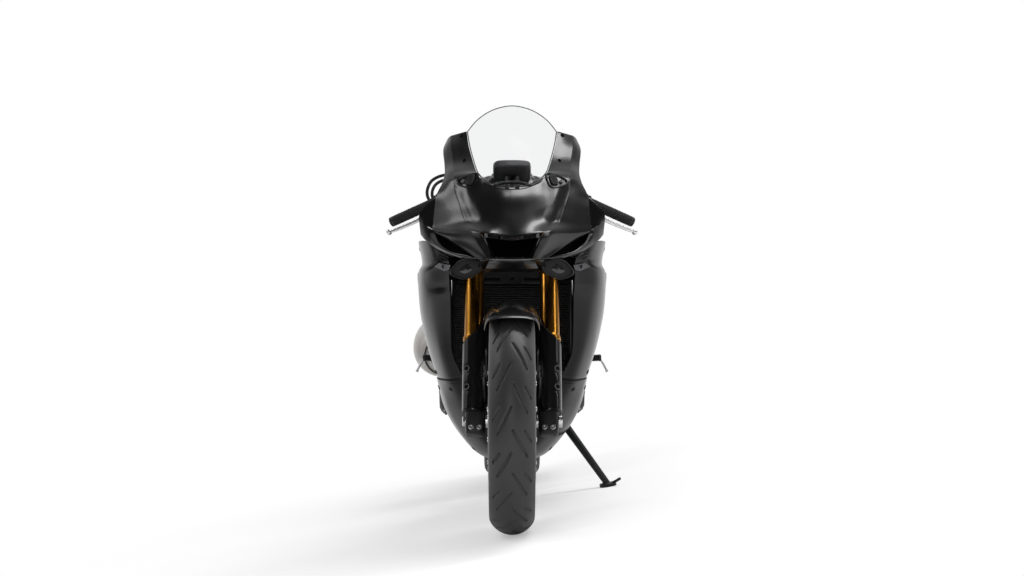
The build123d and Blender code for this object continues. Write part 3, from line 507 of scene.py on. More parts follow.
PAINT = Finish("satin_black_paint", (0.0040, 0.0040, 0.0045), 0.22, coat=0.08, level=0.40, spread=0.10, bump=0.02,
               size=0.0007, tint=(0.0055, 0.0055, 0.0060))
MATT = Finish("black_moulded_plastic", (0.012, 0.012, 0.013), 0.52, level=0.30, bump=0.22, size=0.0011)
# near-black with hardly any gloss: painted shade in the guard holes, the cowl recesses, the intake, the gills, the tab
# slots and the sheets round the radiator; the screen bolts take it as their own black
NEAR_BLACK_AND_SHADE = Finish("near_black_and_painted_shade", (0.003, 0.003, 0.003), 0.75, level=0.10, bump=0.15, size=0.0015)
# grey: the buttons and the mirror screws take it as their own grey, and the screen's top edge is a grey line of it; on
# the intake lip, the guard holes' rims and the fairing tabs it is painted highlight
GREY_TRIM_AND_HIGHLIGHT = Finish("grey_trim_and_painted_highlight", (0.09, 0.09, 0.095), 0.35, bump=0.05, size=0.001)
RUBBER = Finish("tyre_rubber", (0.028, 0.028, 0.029), 0.44, spread=0.14, bump=0.30, size=0.0012,
                tint=(0.036, 0.036, 0.037))
GRIP = Finish("grip_rubber", (0.014, 0.014, 0.015), 0.7, level=0.3, bump=0.3, size=0.0012)
CAST_BLACK = Finish("black_cast_alloy", (0.016, 0.016, 0.017), 0.36, metal=0.35, grain=Grain.CAST, bump=0.22,
                    size=0.0014)
ENGINE = Finish("engine_casting", (0.030, 0.029, 0.027), 0.46, metal=0.5, grain=Grain.CAST, bump=0.35, size=0.0016)
GOLD = Finish("gold_anodised", (0.46, 0.215, 0.030), 0.20, metal=1.0, grain=Grain.BRUSHED, bump=0.06, size=0.0006,
              tint=(0.38, 0.165, 0.022))
CHROME = Finish("hard_chrome", (0.62, 0.62, 0.63), 0.12, metal=1.0, grain=Grain.BRUSHED, bump=0.03, size=0.0006)
STEEL = Finish("machined_steel", (0.46, 0.46, 0.46), 0.30, metal=1.0, grain=Grain.SPUN, size=0.0007)
DISC = Finish("disc_steel", (0.40, 0.40, 0.41), 0.28, metal=1.0, grain=Grain.BRUSHED, bump=0.12, size=0.0006)
ALLOY = Finish("forged_alloy", (0.74, 0.74, 0.75), 0.34, metal=0.9, bump=0.03, size=0.0007)
ZINC = Finish("plated_bolt", (0.66, 0.66, 0.67), 0.24, metal=1.0, bump=0.05, size=0.0006)
CHAIN = Finish("chain_steel", (0.20, 0.19, 0.17), 0.42, metal=0.9, bump=0.2, size=0.0008)
TITAN = Finish("silencer_alloy", (0.42, 0.405, 0.385), 0.42, metal=0.35, grain=Grain.BRUSHED, size=0.0012)
HEAT = Finish("heat_tinted_pipe", (0.24, 0.17, 0.11), 0.34, metal=0.9, spread=0.3, size=0.001,
              tint=(0.13, 0.12, 0.14))
FIN = Finish("radiator_black", (0.060, 0.060, 0.062), 0.5, bump=0.06, size=0.001)
CLEAR = Finish("clear_screen", (0.885, 0.89, 0.895), 0.02, level=0.12, grain=Grain.GLASS, spread=0.0,
               tint=(0.895, 0.90, 0.905))
LENS = Finish("lamp_glass", (0.012, 0.012, 0.013), 0.10, coat=0.6, bump=0.03,
              tint=(0.018, 0.018, 0.019))
RED = Finish("red_lens", (0.30, 0.006, 0.008), 0.12, coat=1.0, bump=0.25, size=0.004)
VINYL = Finish("seat_vinyl", (0.016, 0.016, 0.017), 0.56, level=0.4, grain=Grain.LEATHER, bump=0.30, size=0.0022)
THREAD = Finish("seat_thread", (0.11, 0.11, 0.115), 0.7, bump=0.3, size=0.0006)
GLASS_DARK = Finish("instrument_glass", (0.006, 0.007, 0.009), 0.06, coat=1.0, level=0.6, bump=0.01, size=0.004)
SPRING = Finish("spring_lacquer", (0.42, 0.36, 0.05), 0.30, coat=0.6, bump=0.05, size=0.001)


# ---- mesh building ----------------------------------------------------------------------------------
class Shape:
    """Grids and polygons gathered into one mesh, each a patch of its own."""

    def __init__(self) -> None:
        """Starts empty."""
        self.points: list[Array] = []
        self.faces: list[tuple[int, ...]] = []
        self.patches: list[int] = []
        self.count = 0
        self.patch = 0

    def take(self, points: Array, faces: list[tuple[int, ...]]) -> None:
        """Adds points and faces.

        Args:
            points: the new points.
            faces: corners of each face, counted from the first new point.
        """
        points = np.asarray(points, float).reshape(-1, 3)
        self.points.append(points)
        self.faces += [tuple(self.count + i for i in f) for f in faces]
        self.patches += [self.patch] * len(faces)
        self.count += len(points)

    def next(self) -> "Shape":
        """Starts a new patch: its border with the last one stays a crease."""
        self.patch += 1
        return self

    def grid(self, g: Array, around: bool = False, ends: bool = False, torus: bool = False) -> "Shape":
        """Adds a grid's quads, each corner to the next.

        Args:
            g: rows by columns by 3.
            around: whether the columns close into rings.
            ends: whether to close the first and last ring with a face.
            torus: whether the last row runs on to the first.

        Returns:
            The shape itself.
        """
        rows, cols = g.shape[:2]
        index = np.arange(rows * cols).reshape(rows, cols)
        if torus:
            index = np.concatenate([index, index[:1]])
        if around or torus:
            index = np.concatenate([index, index[:, :1]], 1)
        a, b, c, d = index[:-1, :-1], index[1:, :-1], index[1:, 1:], index[:-1, 1:]
        faces = [tuple(q) for q in np.stack([a, b, c, d], -1).reshape(-1, 4).tolist()]
        if ends:
            faces += [tuple(index[0, :cols][::-1].tolist()), tuple(index[-1, :cols].tolist())]
        self.take(g, faces)
        return self

    def solid(self, rings: Array) -> "Shape":
        """Adds closed rings with a face on the first and the last."""
        return self.grid(rings, around=True, ends=True)

    def pair(self, g: Array, **options: bool) -> "Shape":
        """Adds a grid and its mirror image."""
        return self.grid(g, **options).grid(mirrored(g), **options)

    def tube(self, path: Array, radius: float | Array, sides: int = 14, squash: float = 1.0) -> "Shape":
        """Adds a closed tube along a path."""
        return self.grid(tube(path, radius, sides, squash), around=True, ends=True)

    def rod(self, a: Array, b: Array, radius: float, sides: int = 14) -> "Shape":
        """Adds a straight round bar."""
        return self.tube(np.linspace(a, b, 2), radius, sides)

    def turned(self, profile: Array, centre: Array, axis: Array, sides: int = 40, ring: bool = False) -> "Shape":
        """Adds a turned shape; with ring, its profile closes on itself."""
        g = turned(profile, centre, axis, sides)
        return self.grid(g, torus=True) if ring else self.solid(g)

    def prism(self, outline: Array, depth: Array) -> "Shape":
        """Adds a flat plate: an outline and its copy moved by the depth, joined by a wall."""
        outline = np.asarray(outline, float)
        return self.grid(np.stack([outline, outline + np.asarray(depth, float)]), around=True, ends=True)

    def bolts(self, spots: Array, axis: Array, radius: float = 5.0, high: float = 4.0) -> "Shape":
        """Adds socket-head bolts: a turned head with a sunk socket at each spot.

        Args:
            spots: the middle of each head's seat.
            axis: the direction that the heads point.
            radius: their radius.
            high: their height.

        Returns:
            The shape itself.
        """
        head = [(-2.0, radius), (high * 0.75, radius), (high, radius * 0.82), (high, radius * 0.52),
                (high * 0.3, radius * 0.48)]
        for spot in np.asarray(spots, float).reshape(-1, 3):
            self.turned(head, spot, axis, 12)
        return self

    def both(self, other: "Shape") -> "Shape":
        """Adds another shape and its mirror image, with the faces of the image turned round."""
        points = np.concatenate(other.points)
        self.take(points, other.faces)
        self.take(points * MIRROR, [f[::-1] for f in other.faces])
        return self

    def build(self, name: str, finish: Finish, body: Body = Body.CHASSIS, wall: float = 0.0, bevel: float = 0.0,
              sharp: float = 38.0) -> bpy.types.Object:
        """Makes the mesh object, finishes it and rides it on its body.

        Args:
            name: the piece's name; where a frame node has the same name, the piece stands for it.
            finish: its material.
            body: the body it rides on.
            wall: thickness of a wall, inwards, in millimetres.
            bevel: width of a bevel on the sharp edges, in millimetres.
            sharp: angle above which an edge is drawn sharp, in degrees.

        Returns:
            The object.
        """
        mesh = bpy.data.meshes.new(name)
        mesh.from_pydata(BIKE.place(np.concatenate(self.points)).tolist(), [], self.faces)
        mesh.attributes.new("patch", "INT", "FACE").data.foreach_set("value", np.array(self.patches, np.int32))
        tidy_mesh(mesh, sharp)
        obj = bpy.data.objects.new(name, mesh)
        bpy.context.scene.collection.objects.link(obj)
        mesh.materials.append(finish.material())
        if wall:
            solid = obj.modifiers.new("wall", "SOLIDIFY")
            solid.thickness, solid.offset = wall / MM, -1.0
        if bevel:
            cut = obj.modifiers.new("edges", "BEVEL")
            cut.width, cut.segments, cut.limit_method = bevel / MM, 2, "ANGLE"
            cut.angle_limit = math.radians(sharp)
        return ride(obj, body, name)


# points nearer than the first are welded, and edges shorter than the second are dissolved, in metres
WELD, NO_LENGTH = 2e-5, 1e-7


def tidy_mesh(mesh: bpy.types.Mesh, sharp: float) -> None:
    """Merges doubled points, turns closed shells outwards and marks the sharp edges and the patch borders.

    Args:
        mesh: the mesh, changed in place.
        sharp: angle in degrees above which an edge is sharp.
    """
    work = bmesh.new()
    work.from_mesh(mesh)
    bmesh.ops.remove_doubles(work, verts=work.verts, dist=WELD)
    bmesh.ops.dissolve_degenerate(work, edges=work.edges, dist=NO_LENGTH)
    if all(len(e.link_faces) == 2 for e in work.edges):
        bmesh.ops.recalc_face_normals(work, faces=work.faces)
    patch = work.faces.layers.int["patch"]
    limit = math.radians(sharp)
    for face in work.faces:
        face.smooth = True
    for edge in work.edges:
        if len(edge.link_faces) == 2:
            one, two = edge.link_faces
            edge.smooth = one[patch] == two[patch] and edge.calc_face_angle(0.0) < limit
    work.to_mesh(mesh)
    work.free()


def ride(obj: bpy.types.Object, body: Body, name: str) -> bpy.types.Object:
    """Rides a piece on its body. A piece with a frame node's name stands for it, and the node is hidden.

    Args:
        obj: the piece.
        body: the body.
        name: the name that the piece was given.

    Returns:
        The piece.
    """
    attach(obj, body.value)
    if name in SLOTS:
        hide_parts(name)
    log.info("%s: %d faces", obj.name, len(obj.data.polygons))
    return obj


# ---- wheels -----------------------------------------------------------------------------------------
@dataclass
class Tyre:
    """A grooved road tyre: outer radius, half-width and where it is widest, its shoulder, bead, wall and grooves."""

    name: str
    body: Body
    centre: tuple[float, float, float]
    outer: float
    half: float
    wide_r: float
    shoulder: tuple[float, float]
    bead_x: float
    pitches: int
    bead_r: float = 217.5
    depth: float = 4.4
    groove: float = 5.0
    wall: float = 9.0
    arc_step: float = 3.0
    # grooves of the right half: along the tread and across from its middle, start and end, in millimetres
    slashes: tuple[tuple[float, float, float, float], ...] = ((0.0, 2.0, 74.0, 40.0), (4.0, 33.0, 36.0, 54.0))

    def section(self) -> tuple[Array, Array]:
        """Half section from bead to crown: a sidewall arc and half of a crown arc.

        Returns:
            The section's points, and each one's distance from the crown along it.
        """
        x_sh, r_sh = self.shoulder
        wall = arc((self.bead_x, self.bead_r + 12), (self.half, self.wide_r), (x_sh, r_sh), 16)
        crown = arc((x_sh, r_sh), (0.0, self.outer), (-x_sh, r_sh), 57)[:29]
        line = np.concatenate([[(self.bead_x, self.bead_r)], wall, crown[1:]])
        steps = np.linalg.norm(np.diff(line, axis=0), axis=1)
        return line, np.append(np.cumsum(steps[::-1])[::-1], 0.0)

    def build(self) -> bpy.types.Object:
        """Makes the tyre.

        The outside is the section turned about the axle, its radius less the groove's depth: for each slash,
        depth times a smooth step of one less the distance to its segment over half the groove's width. The
        other half has the same slashes, half a pitch further round. The inside is a plain turned line.
        """
        line, across = self.section()
        line = np.concatenate([line, line[-2::-1] * (-1.0, 1.0)])
        across = np.concatenate([across, -across[-2::-1]])[:, None]
        steps = int(2 * math.pi * self.outer / self.arc_step)
        angle = angles(steps)
        pitch = 2 * math.pi * self.outer / self.pitches
        along = (angle * self.outer)[None, :]
        cut = np.zeros((len(line), steps))
        for sign, shift in ((1.0, 0.0), (-1.0, pitch / 2)):
            u = (along + shift) % pitch
            v = across * sign
            for u0, v0, u1, v1 in self.slashes:
                for turn in (-pitch, 0.0, pitch):
                    du, dv = u1 - u0, v1 - v0
                    t = np.clip(((u + turn - u0) * du + (v - v0) * dv) / (du * du + dv * dv), 0, 1)
                    gap = np.hypot(u + turn - u0 - t * du, v - v0 - t * dv)
                    width = self.groove * (0.55 + 0.45 * np.sin(math.pi * np.clip(t, 0.08, 0.92)))
                    cut = np.maximum(cut, self.depth * (1 - ramp(gap, width * 0.4, width)))
        radius = line[:, 1][:, None] - cut
        x = np.broadcast_to(line[:, :1], radius.shape)
        outside = np.stack([x, -radius * np.sin(angle), radius * np.cos(angle)], -1) + self.centre
        bead, side, shoulder = self.bead_x - self.wall, self.half - self.wall, self.shoulder[0] - self.wall
        inner = [(bead, self.bead_r), (bead, self.bead_r + 14), (side, self.wide_r),
                 (shoulder, self.shoulder[1] - 4), (0.0, self.outer - 13)]
        inner += [(-x0, r) for x0, r in inner[-2::-1]]
        profile = np.array(inner)[::-1]
        inside = np.stack([np.broadcast_to(profile[:, :1], (len(profile), steps)), -profile[:, 1:] * np.sin(angle),
                           profile[:, 1:] * np.cos(angle)], -1) + self.centre
        shape = Shape().grid(np.concatenate([outside, inside]), torus=True)
        return shape.build(self.name, RUBBER, self.body, sharp=60.0)


@dataclass
class Rim:
    """A five-spoke cast wheel."""

    name: str
    body: Body
    centre: tuple[float, float, float]
    bead_x: float
    hub_half: float
    hub_r: float
    spoke_half: float
    bore: float = 12.56
    spokes: int = 5
    # distance from the axle (0 for the hub), half-width and half-thickness over the spoke's own
    stations: tuple[tuple[float, float, float], ...] = ((0.0, 26.0, 7.0), (85.0, 18.0, 2.0), (160.0, 15.0, -3.0),
                                                        (206.0, 25.0, 1.0))

    def build(self) -> bpy.types.Object:
        """Makes the barrel and hub as turned rings, and each spoke as a rounded section along its stations."""
        lip = self.bead_x + 1.0
        barrel = [(-lip - 6, 212), (-lip - 6.5, 222), (-lip - 4, 226.5), (-lip - 0.6, 225), (-lip - 0.6, 217),
                  (-lip + 8, 214), (-lip + 22, 208), (0, 204), (lip - 22, 208), (lip - 8, 214), (lip + 0.6, 217),
                  (lip + 0.6, 225), (lip + 4, 226.5), (lip + 6.5, 222), (lip + 6, 212), (lip - 6, 205),
                  (lip - 22, 199), (0, 197), (-lip + 22, 199), (-lip + 6, 205)]
        h, r = self.hub_half, self.hub_r
        hub = [(-h, self.bore), (-h, r - 3), (-h + 3, r), (-h + 14, r), (-h + 20, r - 3), (h - 20, r - 3), (h - 14, r),
               (h - 3, r), (h, r - 3), (h, self.bore)]
        shape = Shape().turned(barrel, self.centre, ACROSS, 96, ring=True)
        shape.turned(hub, self.centre, ACROSS, 48, ring=True)
        reach, half, thick = curve([(z or r - 10, w, t) for z, w, t in self.stations], 6).T[:, :, None]
        outline = oval(3.6, 20)[None]
        spoke = np.stack([(self.spoke_half + thick) * outline[..., 0], half * outline[..., 1],
                          np.broadcast_to(reach, (len(reach), 20))], -1)
        for k in range(self.spokes):
            a = 2 * math.pi * k / self.spokes
            turn = np.array([[1, 0, 0], [0, math.cos(a), math.sin(a)], [0, -math.sin(a), math.cos(a)]])
            shape.solid(spoke @ turn + self.centre)
        return shape.build(self.name, CAST_BLACK, self.body)


@dataclass
class Disc:
    """A drilled brake disc on a carrier with arms and bobbins."""

    x: float
    radius: float
    band: float
    hub_r: float
    centre: tuple[float, float, float]
    arms: int = 10
    thick: float = 5.0
    rows: int = 3
    columns: int = 42

    def add_to(self, ring: Shape, carrier: Shape, studs: Shape) -> None:
        """Adds the disc to three shapes.

        The ring is made of square cells in radius and angle, each with a round hole: eight points of the
        cell's border run straight to the eight of its hole. Every other row is turned by half a cell.

        Args:
            ring: the shape that takes the drilled ring.
            carrier: the shape that takes the carrier.
            studs: the shape that takes the bobbins.
        """
        k = np.arange(8)
        border = np.stack([np.array([1, 1, 0, -1, -1, -1, 0, 1]), np.array([0, 1, 1, 1, 0, -1, -1, -1])], -1)
        hole = 0.46 * np.stack([np.cos(k * math.pi / 4), np.sin(k * math.pi / 4)], -1)
        cell = np.concatenate([border, hole])
        step, high = 2 * math.pi / self.columns, self.band / self.rows
        row, col = np.meshgrid(np.arange(self.rows), np.arange(self.columns), indexing="ij")
        angle = (col + 0.5 * (row % 2))[..., None] * step + cell[:, 0] * step / 2
        r = self.radius - self.band + (row + 0.5)[..., None] * high + cell[:, 1] * high / 2
        y, z = r * np.sin(angle), r * np.cos(angle)
        faces = []
        for a, b in zip(k, (k + 1) % 8):
            faces += [(a, b, b + 8, a + 8), (a + 24, b + 24, b + 16, a + 16), (a + 8, b + 8, b + 24, a + 24)]
        for cy, cz in zip(y.reshape(-1, 16), z.reshape(-1, 16)):
            near, far = (np.stack([np.full(16, self.x + s * self.thick / 2), cy, cz], -1) for s in (1, -1))
            ring.take(np.concatenate([near, far]) + self.centre, faces)
        for edge in (self.radius, self.radius - self.band):
            wall = turned([(self.x - self.thick / 2, edge), (self.x + self.thick / 2, edge)], self.centre, ACROSS,
                          2 * self.columns)
            ring.grid(wall, around=True)
        inner = self.radius - self.band
        carrier.turned([(self.x - 3, self.hub_r), (self.x - 3, self.hub_r + 17), (self.x, self.hub_r + 19),
                        (self.x + 3, self.hub_r + 17), (self.x + 3, self.hub_r)], self.centre, ACROSS, 60, ring=True)
        outline = np.array([(7.5, self.hub_r + 12), (5.0, self.hub_r + 30), (4.5, inner - 12), (7.0, inner - 1),
                            (-7.0, inner - 1), (-4.5, inner - 12), (-5.0, self.hub_r + 30), (-7.5, self.hub_r + 12)])
        for k in range(self.arms):
            out, side = radial(k / self.arms)
            points = self.centre + outline[:, :1] * side + outline[:, 1:] * out + (self.x - 2.2) * ACROSS
            carrier.prism(points, 4.4 * ACROSS)
            stud = self.centre + (inner + 1.0) * out + self.x * ACROSS
            studs.turned([(-4.6, 2.5), (-4.6, 5.6), (-2.0, 7.2), (2.0, 7.2), (4.6, 5.6), (4.6, 2.5)], stud, ACROSS, 14)


@dataclass
class Wheels:
    """Both wheels with their discs and the driven sprocket."""

    teeth: int = 43
    arms: int = 5

    def build(self) -> None:
        """Makes every wheel piece."""
        front, rear = FRONT_AXLE, REAR_AXLE
        Tyre("front_tyre", Body.FRONT_WHEEL, front, outer=FRONT_R, half=60.0, wide_r=250.0, shoulder=(54.0, 271.0),
             bead_x=46.0, pitches=16).build()
        Tyre("rear_tyre", Body.REAR_WHEEL, rear, outer=315.0, half=92.0, wide_r=256.0, shoulder=(80.0, 282.0),
             bead_x=69.0, pitches=17, slashes=((0.0, 6.0, 82.0, 44.0), (6.0, 50.0, 40.0, 82.0))).build()
        Rim("front_rim", Body.FRONT_WHEEL, front, bead_x=46.0, hub_half=52.0, hub_r=36.0, spoke_half=15.0).build()
        Rim("rear_rim", Body.REAR_WHEEL, rear, bead_x=69.0, hub_half=70.0, hub_r=42.0, spoke_half=18.0).build()
        pair = [Disc(s * 60.0, radius=160.0, band=34.0, hub_r=38.0, centre=front) for s in SIDES]
        single = [Disc(-82.0, radius=110.0, band=32.0, hub_r=26.0, centre=rear, arms=6, columns=30)]
        for body, name, discs in ((Body.FRONT_WHEEL, "front_discs", pair), (Body.REAR_WHEEL, "rear_disc", single)):
            ring, carrier, studs = Shape(), Shape(), Shape()
            for disc in discs:
                disc.add_to(ring, carrier, studs)
            ring.build(name, DISC, body)
            carrier.build(name + "_carrier", CAST_BLACK, body, bevel=0.6)
            studs.build(name + "_bobbins", ZINC, body)
        self.sprocket()
        self.valves()

    def sprocket(self) -> None:
        """Driven sprocket: its radius is the pitch radius plus a rounded tooth wave; arms and nuts carry the ring."""
        per = 8
        angle = angles(self.teeth * per)
        wave = np.cos(self.teeth * angle)
        outer = SPROCKET_R - 1.0 + 4.0 * np.sign(wave) * np.abs(wave) ** 0.7
        x = CHAIN_X
        inner = np.full_like(outer, 80.0)
        rings = [np.stack([np.full_like(r, x + offset), r * np.sin(angle), r * np.cos(angle)], -1) + REAR_AXLE
                 for offset, r in ((-3.0, inner), (-3.0, outer - 1.5), (-1.4, outer), (1.4, outer),
                                   (3.0, outer - 1.5), (3.0, inner))]
        shape, nuts = Shape().grid(np.stack(rings), torus=True), Shape()
        outline = np.array([(16, 40), (11, 62), (17, 84), (-17, 84), (-11, 62), (-16, 40)], float)
        for k in range(self.arms):
            out, side = radial(k / self.arms)
            shape.prism(REAR_AXLE + outline[:, :1] * side + outline[:, 1:] * out + (x - 5) * ACROSS, 4.4 * ACROSS)
            nuts.turned([(-1, 7.2), (5, 7.2), (6, 6.2), (6, 3.4), (8, 3.2)], REAR_AXLE + (x - 0.6) * ACROSS + 74 * out,
                        ACROSS, 6)
        shape.turned([(70.3, 13.0), (70.3, 46.0), (x - 4, 46.0), (x - 1, 42.0), (x - 1, 13.0)], REAR_AXLE, ACROSS, 48,
                     ring=True)
        shape.build("rear_sprocket", STEEL, Body.REAR_WHEEL)
        nuts.build("sprocket_nuts", ZINC, Body.REAR_WHEEL, sharp=30)

    def valves(self) -> None:
        """A valve stem inside each rim."""
        for body, centre, name in ((Body.FRONT_WHEEL, FRONT_AXLE, "front_valve"),
                                   (Body.REAR_WHEEL, REAR_AXLE, "rear_valve")):
            stem = Shape().turned([(-199, 4.5), (-190, 4.5), (-186, 3.0), (-176, 3.0), (-176, 3.8), (-166, 3.6),
                                   (-165, 1.5)], centre, (0, 0.6, 0.8), 12)
            stem.build(name, ZINC, body)


# ---- front end --------------------------------------------------------------------------------------
def bar_point(x: float, side: float = 1.0, ahead: float = 0.0, down: float = 0.0) -> Array:
    """Point beside the handlebar's centre line, which starts at 128, 243, 931 and sweeps back and down."""
    t = x - 128.0
    return np.array([side * x, 243.0 + 0.39 * t - ahead, 931.0 - 0.427 * t - down])


@dataclass
class FrontEnd:
    """Fork, fender, calipers, bars and controls: everything that turns with the steering."""

    tube_low: float = 228.0
    tube_high: float = 700.0

    def fork_legs(self) -> None:
        """Turned outer tubes with their wiper collars and caps, sliding tubes, and lofted axle feet."""
        tubes, caps, sliders, feet, bolts = Shape(), Shape(), Shape(), Shape(), Shape()
        s0, s1 = self.tube_low, self.tube_high
        for side in SIDES:
            base = fork((side * FORK_HALF, 0.0, 0.0))
            tubes.turned([(s0, 22.5), (s0, 28.4), (s0 + 2, 29.5), (s0 + 12, 29.5), (s0 + 15, 27.6), (s0 + 18, 27),
                          (s1 - 60, 27), (s1 - 58, 26.4), (s1 - 55, 27), (s1 - 2, 27), (s1, 25.5), (s1, 22.0)],
                         base, FORK_UP, 48)
            caps.turned([(s1 - 2, 24), (s1 + 3, 24), (s1 + 5, 22), (s1 + 7, 22), (s1 + 7, 9), (s1 + 5, 8.5)], base,
                        FORK_UP, 6).turned([(s0 - 4, 22), (s0 - 3, 25), (s0 + 1, 26), (s0 + 1, 22)], base, FORK_UP, 40)
            sliders.turned([(40, 21.5), (s0 + 150, 21.5), (s0 + 150, 18)], base, FORK_UP, 40)
            feet.solid(self.foot(side))
            outline = [(4, 20), (4, 130), (60, 146), (118, 150), (128, 96), (92, 44), (40, 20)]
            feet.prism(fork([(side * 93.0, y, s) for y, s in outline]), (side * 15.0, 0, 0))
            for x in (86.0, 108.0):
                bolts.turned([(-3, 7.0), (4, 7.0), (5.2, 6.0), (5.2, 3.4), (2.0, 3.0)],
                             fork((side * x, -24.0, -26.0)), -FORK_BACK, 20)
            bolts.turned([(0, 14.5), (6, 14.5), (8, 12.5), (8, 7), (4, 7)], fork((side * 124.2, 0, 0)),
                         side * ACROSS, 6)
        tubes.build("fork_outer_tubes", GOLD, Body.STEERING)
        caps.build("fork_caps", CAST_BLACK, Body.STEERING)
        sliders.build("fork_sliders", CHROME, Body.STEERING)
        feet.build("fork_lower_legs", CAST_BLACK, Body.STEERING, bevel=1.2)
        bolts.build("fork_pinch_bolts", ZINC, Body.STEERING)

    def foot(self, side: float) -> Array:
        """Axle foot: rounded squares up the leg, from the clamp's size to the tube's, about a shifting middle.

        Args:
            side: 1 for the left leg, -1 for the right.

        Returns:
            Its rings.
        """
        stations = np.array([(-38, 98, 22, 19, 4.0), (-35, 97, 26, 23, 4.0), (-20, 97, 27, 25, 4.5),
                             (20, 97, 27, 25, 4.5), (38, 98, 26, 24, 3.6), (58, 101, 24.5, 24, 2.6),
                             (66, 103, 23.5, 23.5, 2.0)])
        rings = []
        for s, x, wide, deep, power in stations:
            unit = oval(power, 32)
            rings.append(fork(np.stack([side * x + wide * unit[:, 0], 1 + deep * unit[:, 1], np.full(32, s)], -1)))
        return np.stack(rings)

    def fender(self) -> None:
        """Crown over the tyre as rings about the axle, and a guard down each leg, with a fillet between.

        The crown's half section is turned through the fender's angle; its leading edge dips at the middle.
        """
        front = curve([(0, 324), (18, 323.6), (36, 322.5), (57, 317), (67, 306), (72.5, 284)], 5)
        top = curve([(0, 319), (18, 317.5), (36, 312.5), (54, 303), (66, 288), (72.5, 268)], 5)
        turn = np.radians(np.linspace(31.0, -72.0, 40))
        blend = ramp(turn, math.radians(8.0), math.radians(31.0))[:, None]
        arch = top[None] * (1 - blend[..., None]) + front[None] * blend[..., None]
        x, r = arch[..., 0], arch[..., 1]
        lift = 4.0 * gauss(turn[:, None] - math.radians(-20), 0.5) * gauss(x, 46.0)
        crown = np.stack([x, -(r + lift) * np.sin(turn)[:, None],
                          FRONT_R + (r + lift) * np.cos(turn)[:, None]], -1)[::-1]
        shape = Shape().grid(np.concatenate([mirrored(crown)[:, :-1], crown], 1))
        across = ((72.5, -14.0), (80.0, -29.0), (100.0, -36.0), (120.0, -32.0), (132.0, -14.0), (133.5, 14.0))
        rows = ((300.0, 84.0, 0.0), (208.0, 10.0, 0.0), (150.0, 0.0, 0.0), (86.0, 0.0, 1.0), (14.0, -10.0, 4.0))
        guard = smooth(np.array([[(a, b + back, s - drop * ((a - 72.5) / 61.0) ** 0.5) for a, b in across]
                                 for s, drop, back in rows]), 10, 6)
        bolt_heights = (86.0, 138.0)
        for height in bolt_heights:
            guard[..., 1] += 5.0 * gauss(guard[..., 2] - height, 12.0) * gauss(guard[..., 0] - 124.0, 13.0)
        for g in (guard, mirrored(guard)):
            shape.next().grid(fork(g))
        shape.build("front_fender", PAINT, Body.STEERING, wall=3.0, bevel=0.9)
        web, holes, rim_glints = Shape(), Shape(), Shape()
        for side in SIDES:
            web.prism(fork([(side * 67.0, y, s) for y, s in ((-16, 200), (-16, 262), (-6, 292), (26, 292), (26, 200))]),
                      (side * 5.0, 0, 0))
            axis = side * 0.45 * ACROSS - 0.9 * FORK_BACK
            # each guard bolt is a near-black plug, painted shade standing for a hole, ringed by a grey rim that is a
            # painted highlight on the hole's edge
            for s in bolt_heights:
                spot = fork((side * 121.0, -31.5, s))
                holes.turned([(-7, 0.5), (-7, 6.4), (1.2, 6.4), (1.2, 0.5)], spot, axis, 18)
                rim_glints.turned([(0.4, 6.2), (2.0, 6.6), (2.0, 8.0), (-0.5, 8.6)], spot, axis, 24, ring=True)
        web.build("fender_webs", PAINT, Body.STEERING, bevel=1.0)
        holes.build("guard_bolt_wells", NEAR_BLACK_AND_SHADE, Body.STEERING)
        rim_glints.build("guard_bolt_rims", GREY_TRIM_AND_HIGHLIGHT, Body.STEERING)

    def calipers(self) -> None:
        """Radial calipers: two rounded halves of oval sections joined over the disc, with piston covers and bolts."""
        body, pistons, bolts = Shape(), Shape(), Shape()
        along, away = (FORK_BACK - FORK_UP) * math.sqrt(0.5), (FORK_BACK + FORK_UP) * math.sqrt(0.5)
        steps = [(-54, 0.80), (-51, 0.95), (-44, 1.0), (-20, 1.0), (-14, 0.93)]
        steps += [(-y, k) for y, k in steps[::-1]]
        for side in SIDES:
            at = local(FRONT_AXLE, side * ACROSS, along, away)
            for middle, half in ((43.75, 9.75), (78.75, 12.25)):
                rows = [(y, k * half, k * (30 if abs(y) < 48 else 26)) for y, k in steps]
                body.solid(at(sections(1, oval(5.0, 28), (middle, 148), rows)))
            for y in (-46.0, 0.0, 46.0):
                body.solid(at(sections(0, oval(4.0, 20) * (8, 6), (y, 173), ((50, 1), (70, 1)))))
            out = side * ACROSS
            for y in (-28.0, 28.0):
                pistons.turned([(0, 15.5), (2.5, 15.5), (3.5, 14.0), (3.5, 9.0), (1.5, 8.0)],
                               at((90.5, y, 146)), out, 28)
            for y in (-47.0, 47.0):
                bolts.turned([(-1, 6), (5, 6), (6, 5), (6, 3), (3, 3)], at((91, y, 160)), out, 12)
            bolts.tube(at([(62.5, -40, 181.5), (62.5, 40, 181.5)]), 2.2, 10)
        body.build("front_calipers", CAST_BLACK, Body.STEERING, bevel=0.8)
        pistons.build("caliper_piston_covers", ALLOY, Body.STEERING)
        bolts.build("caliper_bolts", ZINC, Body.STEERING)

